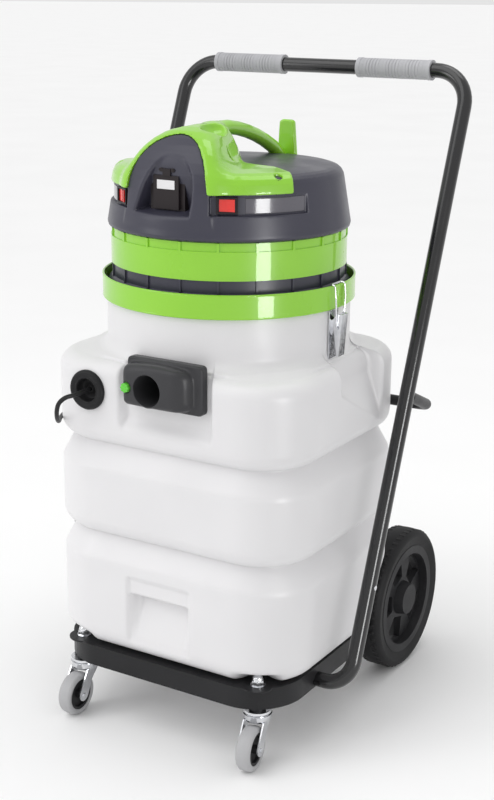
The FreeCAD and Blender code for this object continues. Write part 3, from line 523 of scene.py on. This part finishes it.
def tankShoulder(sizes, wall):
    # from the top of the wall over a round edge and a nearly flat top, and up a hollow round to the neck
    x, y = wall[:, 0], wall[:, 1]
    reach = np.hypot(x, y)
    gap = reach - sizes["neck"]
    outer, inner = np.minimum(0.030, 0.55 * gap), np.minimum(0.022, 0.40 * gap)
    rise, lift, height = 0.005, 0.020, sizes["shoulder"] - sizes["wallTop"]
    rows = []
    for angle in np.linspace(0, math.pi / 2, 13)[1:]:
        rows.append((outer * (1 - math.cos(angle)), height * math.sin(angle) + 0 * gap))
    for part in np.linspace(0, 1, 7)[1:]:
        rows.append((outer + (gap - outer - inner) * part, height + rise * part + 0 * gap))
    for angle in np.linspace(0, math.pi / 2, 11)[1:]:
        up = height + rise + lift * (1 - math.cos(angle))
        rows.append((gap - inner + inner * math.sin(angle), up + 0 * gap))
    loops = []
    for inward, up in rows:
        scale = (reach - inward) / reach
        loops.append(np.stack([x * scale, y * scale, sizes["wallTop"] + up], 1))
    return np.array(loops)


def tankInside(sizes, outline, circle):
    # rim, neck bore and cavity wall
    x, y, nx, ny = outline.T
    bore, top, edge = sizes["neck"] - sizes["rim"], sizes["neckTop"], 0.0015
    rim = [(sizes["neck"] - edge, top + sizes["lip"]), (bore + edge, top + sizes["lip"]), (bore, top),
           (bore, 0.760), (bore, 0.700)]
    loops = [np.stack([circle[:, 0] * r, circle[:, 1] * r, z + 0 * x], 1) for r, z in rim]
    inset, pivot = sizes["inset"], sizes["pivot"]
    levels = [(0.672, 1.0), (0.55, 1.0), (0.43, 1.0), (0.31, 0.75), (0.19, 0.35), (sizes["floor"], 0.35)]
    for z, share in levels:
        squeeze = np.where(y > pivot, share, 1.0)
        behind = pivot + (y - pivot - ny * inset) * squeeze
        loops.append(np.stack([x - nx * inset, np.where(y > pivot, behind, y - ny * inset), z + 0 * x], 1))
    return np.array(loops)


def tankRows(sizes):
    # heights of the wall's rows: closer together at the grooves and at the pocket's top
    coarse, fine, finest, least = 0.0046, 0.0024, 0.002, 0.0009
    rows = [np.arange(sizes["low"], sizes["wallTop"], coarse), [sizes["wallTop"]]]
    for groove in sizes["grooves"]:
        rows.append(np.arange(groove - 0.014, groove + 0.034, fine))
    rows.append(np.arange(0.262, 0.276, finest))
    z = np.unique(np.round(np.concatenate(rows), 5))
    return z[np.append(True, np.diff(z) > least)]


def drill(piece, name, radius, start, end):
    # a round hole from start to end
    mesh = bpy.data.meshes.new(name)
    drillBits = bmesh.new()
    axis = Vector(end) - Vector(start)
    turn = axis.to_track_quat("Z", "Y").to_matrix().to_4x4()
    place = Matrix.Translation((Vector(start) + Vector(end)) / 2 + Vector((0, headY, 0))) @ turn
    bmesh.ops.create_cone(drillBits, cap_ends=True, segments=48, radius1=radius, radius2=radius,
                          depth=axis.length, matrix=place)
    drillBits.to_mesh(mesh)
    drillBits.free()
    bit = addObject(name, mesh)
    cut = piece.modifiers.new(name, "BOOLEAN")
    cut.operation = "DIFFERENCE"
    cut.object = bit
    cut.solver = "EXACT"
    return bit


def makeTank(sizes):
    outline = tankOutline(sizes, sizes["columns"])
    wall = tankWall(sizes, outline, tankRows(sizes))
    over = tankShoulder(sizes, wall[-1])
    circle = over[-1][:, :2] / sizes["neck"]
    across, back = circle.T * sizes["neck"]
    levels = (0.727, 0.745, 0.772, sizes["neckTop"])
    neck = np.array([np.stack([across, back, z + 0 * across], 1) for z in levels])
    loops = np.concatenate([wall, over, neck, tankInside(sizes, outline, circle)])
    count = loops.shape[1]
    points = loops.reshape(-1, 3)
    faces = []
    for row in range(len(loops) - 1):
        for column in range(count):
            after = (column + 1) % count
            faces.append((row * count + column, row * count + after, (row + 1) * count + after,
                          (row + 1) * count + column))
    under, floor = len(points), len(points) + 1
    last = (len(loops) - 1) * count
    for column in range(count):
        after = (column + 1) % count
        faces.append((under, after, column))
        faces.append((floor, last + column, last + after))
    centres = [(0, sizes["middle"], sizes["low"]), (0, sizes["middle"], sizes["floor"])]
    points = np.concatenate([points, centres])
    points[:, 1] += headY
    tank = addMesh("tankShell", points, faces, tankWhite)
    bits = [drill(tank, name, radius, (x, -0.270, z), (x, -0.180, z))
            for name, (radius, x, z) in tankHoles.items()]
    bake(tank)
    for bit in bits:
        bpy.data.objects.remove(bit)
    print("stage: tank", len(tank.data.polygons), "faces")
    return settle(tank, "chassis", "white_tank", "tank")


makeTank(tankSizes)


coverProfile = millimetres([(-10, 909), (207, 909), (212.5, 911.5), (214, 917), (201, 994), (199.5, 1001),
                            (196, 1007.5), (190.5, 1012), (182, 1014.8), (150, 1018), (107, 1021),
                            (55, 1023.3), (0, 1024), (-10, 1024)])
coverBore = millimetres([(-10, 880), (214, 880), (214, 917), (201, 994), (188, 1013), (107, 1021), (0, 1024),
                         (-10, 1024)])
hoodProfile = millimetres([(-10, 930), (209, 930), (208.5, 945), (207, 965), (205.5, 985), (202.5, 1002),
                           (197.5, 1019), (190.5, 1035), (181.5, 1049), (170, 1061), (157, 1071),
                           (141, 1080), (122, 1086.5), (98, 1090), (60, 1091), (-10, 1091)])
hoodOutline = bothSides([(97, 930), (93, 990), (90, 1008), (84, 1025), (77, 1041), (68, 1056), (58, 1069),
                         (46, 1080), (33, 1088), (18, 1093), (0, 1095)])
archOutline = bothSides([(84, 930), (82.5, 960), (80, 985), (76.5, 1005), (71, 1022), (62.5, 1039),
                         (52, 1053), (41, 1063), (28, 1070), (14, 1074.5), (0, 1076)])
nicheOutline = millimetres([(-59, 952), (46, 952), (50, 975), (50.5, 998), (47, 1016), (39, 1031),
                            (27, 1042), (12, 1048), (-2, 1047.5), (-14, 1041), (-24, 1030), (-33, 1015),
                            (-43, 993)])
gripLine = millimetres([(0, -62, 1075.5), (0, -40, 1078), (0, -8, 1077.5), (0, 25, 1072.5), (0, 56, 1065.5),
                        (0, 86, 1056.5), (0, 116, 1045), (0, 146, 1031), (0, 172, 1013), (0, 188, 996)])


screwSizes = {"x": 0.160, "y": -0.106, "hole": 0.0068, "seat": 1.0065, "head": 0.0046, "shank": 0.0021,
              "edge": 0.002}
hoodSizes = {"wide": 0.97, "taper": 0.17, "taperLow": 0.960, "taperHigh": 1.035, "narrowing": 0.80,
             "narrowFrom": -0.175, "narrowTo": 0.045, "rearY": -0.024, "rearZ": 1.060,
             "rearSlope": (0.78, 0.625), "crest": 0.016, "rearEdge": 0.012}
nicheSizes = {"splay": 0.22, "front": -0.195, "back": -0.168, "lean": 0.30, "floor": 0.952, "leanTop": 0.06,
              "edge": 0.004}
stripSizes = {"from": 23, "to": 71, "degree": 0.0035, "middle": 0.9685, "half": 0.0155, "radius": 0.201,
              "edge": 0.002}
coverSizes = {"panelEdge": 0.002, "panelBack": -0.095, "blend": 0.010, "wall": 0.012, "lining": 0.005,
              "nicheEdge": 0.007, "stripEdge": 0.0025}
shellSizes = {"edgeX": [0, 0.03, 0.067, 0.09, 0.125, 0.165, 0.2, 0.23],
              "edgeY": [-0.030, -0.040, -0.056, -0.060, -0.055, -0.074, -0.110, -0.150],
              "edgeSlope": 0.95, "edge": 0.006, "skin": 0.0045, "under": 0.008, "overHood": 0.0015,
              "hoodBlend": 0.024, "gripWidth": 0.92, "gripRadius": 0.0122, "gripBlend": 0.010,
              "archGap": 0.0004, "low": 0.9865, "lowEdge": 0.003}
pitSizes = {"x": 0.030, "y": -0.091, "z": 1.087, "reach": (0.021, 0.036, 0.019), "scale": 0.022,
            "edge": 0.003}


def hoodField(x, y, z, grow):
    # the bulge at the front: a taller dome, narrowed to a tunnel that ends in a slope under the grip
    s = hoodSizes
    squash = s["wide"] - s["taper"] * ease(z, s["taperLow"], s["taperHigh"])
    dome = outlineField(hoodProfile, np.hypot(squash * x, np.minimum(y, 0)), z)
    narrow = 1 - s["narrowing"] * ease(y, s["narrowFrom"], s["narrowTo"])
    tunnel = outlineField(hoodOutline, x / narrow, z) * narrow
    rear = (y - s["rearY"]) * s["rearSlope"][0] + (z - s["rearZ"]) * s["rearSlope"][1]
    return smoothMax(smoothMax(dome, tunnel, s["crest"]), rear, s["rearEdge"]) - grow


def nicheField(x, y, z):
    # the socket's recess: its sides splay towards the front and its back leans
    s = nicheSizes
    sides = outlineField(nicheOutline, x, z) + s["splay"] * (y - s["front"])
    back = (y - s["back"]) + s["lean"] * np.clip(z - s["floor"], 0, s["leanTop"])
    return smoothMax(sides, back, s["edge"])


def stripField(x, y, z):
    # the shallow band under the green edge, with the switch in it
    s = stripSizes
    around = np.degrees(np.arctan2(np.abs(x), -y))
    wide = np.maximum(s["from"] - around, around - s["to"]) * s["degree"]
    high = np.abs(z - s["middle"]) - s["half"]
    return smoothMax(smoothMax(wide, high, s["edge"]), s["radius"] - np.hypot(x, y), s["edge"])


def coverField(x, y, z):
    # the dark cover: a hollow dome, the panel in the hood's front, the socket's recess and the two bands
    s = coverSizes
    reach = np.hypot(x, y)
    solid = outlineField(coverProfile, reach, z)
    panel = smoothMax(hoodField(x, y, z, 0.0), outlineField(archOutline, x, z), s["panelEdge"])
    panel = np.maximum(panel, y - s["panelBack"])
    solid = smoothMin(solid, panel, s["blend"])
    shell = np.maximum(solid, -(outlineField(coverBore, reach, z) + s["wall"]))
    lining = np.maximum(nicheField(x, y, z) - s["lining"], solid)
    shell = np.minimum(shell, lining)
    shell = smoothMax(shell, -nicheField(x, y, z), s["nicheEdge"])
    return smoothMax(shell, -stripField(x, y, z), s["stripEdge"])


def pitField(x, y, z, side):
    # the hollow beside the grip's root
    s = pitSizes
    a, b, c = s["reach"]
    pit = np.sqrt(((x - side * s["x"]) / a) ** 2 + ((y - s["y"]) / b) ** 2 + ((z - s["z"]) / c) ** 2)
    return (pit - 1) * s["scale"]


def shellField(x, y, z):
    # the green shell: a cap over the cover's front, the hood and the grip, with pits and screw holes
    s = shellSizes
    cover = outlineField(coverProfile, np.hypot(x, y), z)
    edge = np.interp(np.abs(x), s["edgeX"], s["edgeY"])
    cap = smoothMax(cover - s["skin"], (y - edge) * s["edgeSlope"], s["edge"])
    cap = np.maximum(cap, -(cover + s["under"]))
    shell = smoothMin(cap, hoodField(x, y, z, s["overHood"]), s["hoodBlend"])
    grip = pathField(x * s["gripWidth"], y, z, gripLine, s["gripRadius"])
    shell = smoothMin(shell, grip, s["gripBlend"])
    for side in (-1, 1):
        shell = smoothMax(shell, -pitField(x, y, z, side), pitSizes["edge"])
        screw = np.hypot(x - side * screwSizes["x"], y - screwSizes["y"]) - screwSizes["hole"]
        shell = smoothMax(shell, -np.maximum(screw, screwSizes["seat"] - z), screwSizes["edge"])
    arch = np.maximum(outlineField(archOutline, x, z) - s["archGap"], y - coverSizes["panelBack"])
    shell = smoothMax(shell, -arch, s["lowEdge"])
    return smoothMax(shell, s["low"] - z, s["lowEdge"])


settle(addField("coverShell", coverField, (-217, -217, 904), (217, 217, 1082), 0.0030, coverGrey),
       "head", "dark_plastic", "motor_cover")
settle(addField("greenShell", shellField, (-212, -216, 982), (212, 202, 1100), 0.0025, limeGreen),
       "head", "green_plastic", "handle_shell")


inletSizes = {"plateLow": (-0.056, -0.2365, 0.624), "plateHigh": (0.098, -0.218, 0.712), "plateEdge": 0.0045,
              "plateCorner": 0.012, "plateBlend": 0.004, "blockLow": (-0.050, -0.275, 0.631),
              "blockHigh": (0.092, -0.226, 0.715), "blockEdge": 0.010, "middle": 0.012, "crown": 0.706,
              "front": -0.2655, "crownEdge": 0.012, "frontEdge": 0.014, "sideX": 0.073, "sideY": -0.264,
              "sideSlant": 0.43, "sideEdge": 0.022, "join": 0.005, "boreX": 0.004, "boreZ": 0.663,
              "bore": 0.0290, "flareY": -0.258, "flare": 0.35, "buttonX": -0.039, "buttonHole": 0.0095,
              "buttonFloor": -0.2595, "holeEdge": 0.002}


def inletField(x, y, z):
    # a plate with a crowned block on it, a bore for the hose and a hole for the button
    s = inletSizes
    low, high = s["plateLow"], s["plateHigh"]
    plate = blockField(x, y, z, low, high, s["plateEdge"])
    outline = roundedField(x, z, (low[0], low[2]), (high[0], high[2]), s["plateCorner"])
    plate = smoothMax(plate, outline, s["plateBlend"])
    crown = s["crown"] - 0.006 * ((x - s["middle"]) / 0.065) ** 2
    front = s["front"] + 0.003 * ((x - s["middle"]) / 0.062) ** 2 + 0.0015 * ((z - 0.667) / 0.036) ** 2
    block = blockField(x, y, z, s["blockLow"], s["blockHigh"], s["blockEdge"])
    block = smoothMax(block, (z - crown) * 0.99, s["crownEdge"])
    block = smoothMax(block, front - y, s["frontEdge"])
    block = smoothMax(block, (x - s["sideX"] - s["sideSlant"] * (y - s["sideY"])) * 0.92, s["sideEdge"])
    body = smoothMin(plate, block, s["join"])
    bore = np.hypot(x - s["boreX"], z - s["boreZ"])
    body = smoothMax(body, s["bore"] - bore + s["flare"] * np.minimum(y - s["flareY"], 0), s["holeEdge"])
    button = np.hypot(x - s["buttonX"], z - s["boreZ"]) - s["buttonHole"]
    return smoothMax(body, -np.maximum(button, y - s["buttonFloor"]), s["holeEdge"])


settle(addField("inletBlock", inletField, (-60, -270, 618), (103, -216, 716), 0.0015, inletBlack),
       "chassis", "dark_plastic", "inlet_plate", "inlet_housing")


def ringBar(name, centre, axis, profile, count, mat):
    # a turned piece: profile of (radius, distance along the axis), closed on the axis where the radius is 0
    turn = Vector(axis).to_track_quat("Z", "Y").to_matrix()
    points, faces = [], []
    for radius, along in profile:
        for i in range(count):
            angle = 2 * math.pi * i / count
            spot = turn @ Vector((radius * math.cos(angle), radius * math.sin(angle), along))
            points.append(spot + Vector(centre) + Vector((0, headY, 0)))
    rows = len(profile)
    for row in range(rows):
        under = (row + 1) % rows
        for i in range(count):
            after = (i + 1) % count
            faces.append((row * count + i, row * count + after, under * count + after, under * count + i))
    piece = addMesh(name, points, faces, mat)
    tidy = bmesh.new()
    tidy.from_mesh(piece.data)
    bmesh.ops.remove_doubles(tidy, verts=tidy.verts, dist=1e-6)
    bmesh.ops.recalc_face_normals(tidy, faces=tidy.faces)
    tidy.to_mesh(piece.data)
    tidy.free()
    return piece


switchSizes = {"radius": 0.201, "low": 0.9560, "high": 0.9812, "from": 39.5, "to": 70.0, "stand": 0.0012}
labelSizes = {"low": (-0.0235, -0.1884, 0.9895), "high": (0.0115, -0.1874, 1.0045), "corner": 0.0004}
buttonSizes = {"x": -0.039, "z": 0.663, "radius": 0.0086, "ribs": 8, "front": -0.2685, "back": -0.2560}


def stripPlateField(x, y, z, sizes, side):
    # the smooth glossy band beside a switch; its grey is lighter than the cover's, partly its own tone and
    # partly a painted reflection
    around = np.degrees(np.arctan2(side * x, -y))
    wide = np.maximum(sizes["from"] - around, around - sizes["to"]) * stripSizes["degree"]
    high = np.maximum(sizes["low"] - z, z - sizes["high"])
    thick = np.abs(np.hypot(x, y) - sizes["radius"]) - sizes["stand"]
    return smoothMax(smoothMax(wide, high, 0.001), thick, 0.001)


def buttonField(x, y, z, sizes):
    # a knob with petals round it
    dx, dz = x - sizes["x"], z - sizes["z"]
    around = np.arctan2(dz, dx)
    reach = np.hypot(dx, dz) - sizes["radius"] * (0.93 + 0.07 * np.cos(sizes["ribs"] * around))
    grooves = 0.0007 * np.maximum(0, -np.cos(sizes["ribs"] * around)) * (np.hypot(dx, dz) > 0.003)
    body = smoothMax(reach, sizes["front"] + grooves - y, 0.002)
    return np.maximum(body, y - sizes["back"])


def bandField(factor):
    return lambda x, y, z: stripPlateField(x, y, z, switchSizes, factor)


def labelField(x, y, z):
    return blockField(x, y, z, labelSizes["low"], labelSizes["high"], labelSizes["corner"])


def knobField(x, y, z):
    return buttonField(x, y, z, buttonSizes)


settle(addField("switchBand_left", bandField(-1), (-200, -165, 953), (-120, -60, 984), 0.0012, bandGlossAndSheen),
       "head", "dark_plastic")
settle(addField("switchBand_right", bandField(1), (120, -165, 953), (200, -60, 984), 0.0012, bandGlossAndSheen),
       "head", "dark_plastic")
settle(addField("blankLabel", labelField, (-26, -190, 987), (14, -186, 1007), 0.0005, labelWhite),
       "socket_lid", "dark_plastic")
settle(addField("releaseKnob", knobField, (-50, -271, 652), (-28, -254, 674), 0.0006, buttonGreen),
       "release_button", "green_button", "release_button")


grommetSizes = {"x": -0.141, "z": 0.637, "face": -0.234, "flange": 0.0355, "mouth": 0.0205, "depth": 0.010,
                "bore": 0.0038, "back": 0.016}


def makeGrommet(sizes):
    # profile: radius, and distance out from the tank's face
    mouth, depth, bore = sizes["mouth"], sizes["depth"], sizes["bore"]
    profile = [(bore, -sizes["back"]), (0.024, -sizes["back"]), (0.024, 0), (sizes["flange"], 0),
               (0.0357, 0.0020), (0.0352, 0.0048), (0.0338, 0.0072), (0.0315, 0.0085), (0.0292, 0.0084),
               (0.0255, 0.0070), (0.0235, 0.0066), (0.0222, 0.0070), (mouth + 0.0008, 0.0066),
               (mouth, 0.0052), (mouth - 0.0005, 0.0), (mouth - 0.002, -depth + 0.001),
               (mouth - 0.004, -depth), (bore + 0.003, -depth), (bore + 0.0022, -depth + 0.004),
               (bore + 0.0008, -depth + 0.005), (bore, -depth + 0.004)]
    centre = (sizes["x"], sizes["face"], sizes["z"])
    return ringBar("grommetRing", centre, (0, -1, 0), profile, 72, rubberBlack)


settle(makeGrommet(grommetSizes), "chassis", "black_rubber", "cable_grommet")


def makeScrew(name, side, sizes):
    head, shank = sizes["head"], sizes["shank"]
    profile = [(0, -0.010), (shank, -0.010), (shank, 0), (head, 0), (head, 0.0012), (head - 0.0006, 0.0020),
               (head - 0.0018, 0.0026), (0.0016, 0.0028), (0.0013, 0.0012), (0, 0.0011)]
    seat = (side * sizes["x"], sizes["y"], sizes["seat"] + 0.0002)
    return ringBar(name, seat, (0, 0, 1), profile, 32, zincBright)


hookSizes = {"foot": 1.004, "high": 0.072, "left": -0.013, "right": 0.027, "leftTaper": 0.004,
             "rightTaper": 0.006, "plateY": 0.1895, "plateHalf": 0.0028, "rimY": 0.1885, "rimHalf": 0.0052,
             "rimWide": 0.006, "top": 1.0765, "middle": 0.007, "flatHalf": 0.009, "fall": 0.4,
             "low": 1.002, "edge": 0.002}


def hookField(x, y, z):
    # a tapered tongue with a raised border
    s = hookSizes
    up = (z - s["foot"]) / s["high"]
    left, right = s["left"] + s["leftTaper"] * up, s["right"] - s["rightTaper"] * up
    face = np.maximum(left - x, x - right)
    plate = smoothMax(face, np.abs(y - s["plateY"]) - s["plateHalf"], s["edge"])
    border = np.maximum(face, right - s["rimWide"] - x)
    rim = smoothMax(border, np.abs(y - s["rimY"]) - s["rimHalf"], s["edge"])
    tongue = smoothMin(plate, rim, s["edge"])
    top = s["top"] - s["fall"] * np.maximum(np.abs(x - s["middle"]) - s["flatHalf"], 0)
    return smoothMax(smoothMax(tongue, z - top, 2 * s["edge"]), s["low"] - z, s["edge"] / 2)


screws = [makeScrew("coverScrew_left", -1, screwSizes), makeScrew("coverScrew_right", 1, screwSizes)]
settle(screws[0], "head", "zinc", "cover_screws")
settle(screws[1], "head", "zinc")
settle(addField("hookTongue", hookField, (-18, 178, 999), (32, 198, 1080), 0.0012, limeGreen), "head",
       "green_plastic", "cable_hook")


class Tree:
    # a Geometry Nodes tree with its named inputs
    def __init__(self, name):
        self.tree = bpy.data.node_groups.new(name, "GeometryNodeTree")
        self.tree.interface.new_socket("Geometry", in_out="OUTPUT", socket_type="NodeSocketGeometry")
        self.source = self.tree.nodes.new("NodeGroupInput")
        self.ids = {}

    def value(self, name, kind="Float"):
        socket = self.tree.interface.new_socket(name, in_out="INPUT", socket_type="NodeSocket" + kind)
        self.ids[name] = socket.identifier
        return next(s for s in self.source.outputs if s.identifier == socket.identifier)

    def node(self, kind, settings=None, inputs=None, out=0):
        node = self.tree.nodes.new(kind)
        for key, value in (settings or {}).items():
            setattr(node, key, value)
        for key, value in (inputs or {}).items():
            if isinstance(value, bpy.types.NodeSocket):
                self.tree.links.new(value, node.inputs[key])
            else:
                node.inputs[key].default_value = value
        return node.outputs[out]

    def finish(self, geometry, material):
        real = self.node("GeometryNodeRealizeInstances", None, {0: geometry})
        smooth = self.node("GeometryNodeSetShadeSmooth", None, {0: real})
        done = self.node("GeometryNodeSetMaterial", None, {0: smooth, "Material": material})
        self.tree.links.new(done, self.tree.nodes.new("NodeGroupOutput").inputs[0])

    def run(self, name, values):
        piece = addObject(name, bpy.data.meshes.new(name))
        modifier = piece.modifiers.new("build", "NODES")
        modifier.node_group = self.tree
        for key, value in values.items():
            modifier[self.ids[key]] = value
        return bake(piece)


def ringTree():
    # rings threaded on a straight line
    tree = Tree("ringsOnLine")
    count, start = tree.value("Count", "Int"), tree.value("Start", "Vector")
    step = tree.value("Step", "Vector")
    radius, thick, tilt = tree.value("Radius"), tree.value("Thickness"), tree.value("Tilt", "Vector")
    material = tree.value("Material", "Material")
    line = tree.node("GeometryNodeMeshLine", {"mode": "OFFSET"},
                     {"Count": count, "Start Location": start, "Offset": step})
    loop = tree.node("GeometryNodeCurvePrimitiveCircle", None, {"Resolution": 40, "Radius": radius})
    section = tree.node("GeometryNodeCurvePrimitiveCircle", None, {"Resolution": 8, "Radius": thick})
    ring = tree.node("GeometryNodeCurveToMesh", None, {"Curve": loop, "Profile Curve": section})
    rotation = tree.node("FunctionNodeEulerToRotation", None, {0: tilt})
    rings = tree.node("GeometryNodeInstanceOnPoints", None,
                      {"Points": line, "Instance": ring, "Rotation": rotation})
    tree.finish(rings, material)
    return tree


def treadTree():
    # blocks standing round a wheel, in rows across its width
    tree = Tree("treadBlocks")
    count, radius = tree.value("Count", "Int"), tree.value("Radius")
    rows, gap = tree.value("Rows", "Int"), tree.value("Gap")
    size, centre = tree.value("Size", "Vector"), tree.value("Centre", "Vector")
    material = tree.value("Material", "Material")
    circle = tree.node("GeometryNodeMeshCircle", None, {"Vertices": count, "Radius": radius})
    block = tree.node("GeometryNodeMeshCube", None, {"Size": size})
    across = tree.node("ShaderNodeCombineXYZ", None, {2: gap})
    row = tree.node("GeometryNodeMeshLine", {"mode": "OFFSET"}, {"Count": rows, "Offset": across})
    pair = tree.node("GeometryNodeInstanceOnPoints", None, {"Points": row, "Instance": block})
    outward = tree.node("GeometryNodeInputPosition")
    rotation = tree.node("FunctionNodeAlignRotationToVector", {"axis": "X"}, {"Vector": outward})
    blocks = tree.node("GeometryNodeInstanceOnPoints", None,
                       {"Points": circle, "Instance": pair, "Rotation": rotation})
    upright = tree.node("FunctionNodeEulerToRotation", None, {0: (0, math.pi / 2, 0)})
    placed = tree.node("GeometryNodeTransform", None,
                       {"Geometry": blocks, "Translation": centre, "Rotation": upright})
    tree.finish(placed, material)
    return tree


hoseSizes = {"radius": 0.0216, "rib": 0.0034, "pitch": 0.0072, "core": (0.0170, 0.0225), "ends": 2.2}
gripSizes = {"radius": 0.0158, "rib": 0.0022, "ribs": 24, "collar": 0.009}
treadSizes = {"count": 54, "rows": 3, "block": (0.0030, 0.0085, 0.0125), "gap": 0.0150, "radius": 0.1378}


def makeHoseRibs(tree, sizes):
    # the hose leans back, so its axis runs between the two ends of its box
    low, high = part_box("drain_hose")
    middle = (low.x + high.x) / 2
    inset = (high.x - low.x) / 2
    start, end = Vector((middle, low.y + inset, low.z)), Vector((middle, high.y - inset, high.z))
    line = end - start
    step = line.normalized() * sizes["pitch"]
    lean = math.atan2(line.y, line.z)
    values = {"Count": int(line.length / sizes["pitch"]) - 3, "Start": tuple(start + step * sizes["ends"]),
              "Step": tuple(step), "Radius": sizes["radius"], "Thickness": sizes["rib"],
              "Tilt": (-lean, 0, 0), "Material": innerBlack}
    ribs = tree.run("hoseRibs", values)
    bore, wall = sizes["core"]
    profile = [(bore, 0), (wall, 0), (wall, 1), (bore, 1)]
    core = ringBar("hoseCore", (0, 0, 0), (0, 0, 1), profile, 40, innerBlack)
    axis = Matrix.Translation(start) @ line.to_track_quat("Z", "Y").to_matrix().to_4x4()
    stretch = Matrix.Diagonal((1, 1, line.length, 1))
    core.data.transform(axis @ stretch @ Matrix.Translation((0, -headY, 0)))
    return ribs, core


def makeGripRibs(tree, sizes, side):
    low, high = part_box("grip_" + side)
    middle = (low + high) / 2
    first, last = low.x + sizes["collar"], high.x - sizes["collar"]
    pitch = (last - first) / (sizes["ribs"] - 1)
    values = {"Count": sizes["ribs"], "Start": (first, middle.y, middle.z), "Step": (pitch, 0, 0),
              "Radius": sizes["radius"], "Thickness": sizes["rib"], "Tilt": (0, math.pi / 2, 0),
              "Material": gripGrey}
    return tree.run("gripRibs_" + side, values)


def makeTread(tree, sizes, side):
    low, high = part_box("rear_tyre_" + side)
    middle = (low + high) / 2
    reach = (sizes["rows"] - 1) * sizes["gap"] / 2
    values = {"Count": sizes["count"], "Rows": sizes["rows"], "Gap": sizes["gap"], "Radius": sizes["radius"],
              "Size": sizes["block"], "Centre": (middle.x - reach, middle.y, middle.z),
              "Material": tyreBlack}
    return tree.run("tread_" + side, values)


rings, treads = ringTree(), treadTree()
hoseRibs, hoseCore = makeHoseRibs(rings, hoseSizes)
settle(hoseRibs, "chassis", "inner_plastic", "drain_hose")
settle(hoseCore, "chassis", "inner_plastic")
for side in sideNames:
    settle(makeGripRibs(rings, gripSizes, side), "chassis", "grey_rubber")
    settle(makeTread(treads, treadSizes, side), "rear_wheel_" + side, "black_tyre")
print("stage: ribs and treads")


def makeFloor():
    half = 400.0
    mesh = bpy.data.meshes.new("floor")
    corners = [(-half, -half, 0), (half, -half, 0), (half, half, 0), (-half, half, 0)]
    mesh.from_pydata(corners, [], [(0, 1, 2, 3)])
    floor = addObject("floor", mesh)

    def varying(place):
        shade = place.noise(1.5, 2.0).ramp(0.3, 0.7)
        return {"Base Color": shade.tint((0.93, 0.93, 0.93), (0.95, 0.95, 0.95))}
    mesh.materials.append(finish("floorPaper", {"Roughness": 0.9, "Specular IOR Level": 0.1}, varying))


def softbox(name, place, aim, width, height, power, fill=True):
    light = bpy.data.lights.new(name, "AREA")
    light.shape = "RECTANGLE"
    light.size, light.size_y = width, height
    light.energy = power
    lamp = addObject(name, light)
    lamp.location = place
    lamp.visible_camera = False
    lamp.visible_diffuse = fill
    lamp.rotation_mode = "QUATERNION"
    lamp.rotation_quaternion = (Vector(aim) - Vector(place)).to_track_quat("-Z", "Y")


def makeStudio():
    world = bpy.data.worlds.new("studio")
    bpy.context.scene.world = world
    world.use_nodes = True
    world.node_tree.nodes["Background"].inputs["Color"].default_value = (1, 1, 1, 1)
    world.node_tree.nodes["Background"].inputs["Strength"].default_value = 0.78
    softbox("sideBox", (2.3, -1.22, 0.72), (0, 0, 0.62), 0.62, 1.3, 30, fill=False)
    softbox("frontBox", (-1.9, -2.3, 1.5), (0, 0, 0.7), 0.7, 1.5, 9)
    softbox("topBox", (0.3, 0.6, 3.0), (0, 0, 0.8), 1.2, 1.2, 8)
    sun = bpy.data.lights.new("daylight", "SUN")
    sun.energy = 0.8
    sun.angle = math.radians(50)
    lamp = addObject("daylight", sun)
    lamp.rotation_mode = "QUATERNION"
    lamp.rotation_quaternion = Vector((0.5, 0.8, -1.3)).to_track_quat("-Z", "Y")


def makeCamera():
    # standing at the front right, a little above the handle, looking down at the machine
    view = {"place": (1.34188, -2.13559, 1.31620), "turn": math.radians(31.38), "dip": math.radians(16.2),
            "roll": 0.008, "lens": 64.55}
    turn, dip, roll = view["turn"], view["dip"], view["roll"]
    ahead = Vector((-math.sin(turn) * math.cos(dip), math.cos(turn) * math.cos(dip), -math.sin(dip)))
    right = Vector((math.cos(turn), math.sin(turn), 0))
    up = right.cross(ahead)
    level = right * math.cos(roll) + up * math.sin(roll)
    upright = up * math.cos(roll) - right * math.sin(roll)
    camera = bpy.data.cameras.new("camera")
    camera.lens = view["lens"]
    camera.sensor_width = 36
    camera.clip_end = 100
    holder = addObject("camera", camera)
    place = Vector(view["place"]) + Vector((0, headY, 0))
    rows = Matrix((level, upright, -ahead)).transposed().to_4x4()
    holder.matrix_world = Matrix.Translation(place) @ rows
    bpy.context.scene.camera = holder


makeFloor()
makeStudio()
makeCamera()
bpy.context.scene.view_settings.view_transform = "Standard"
print("stage: studio")
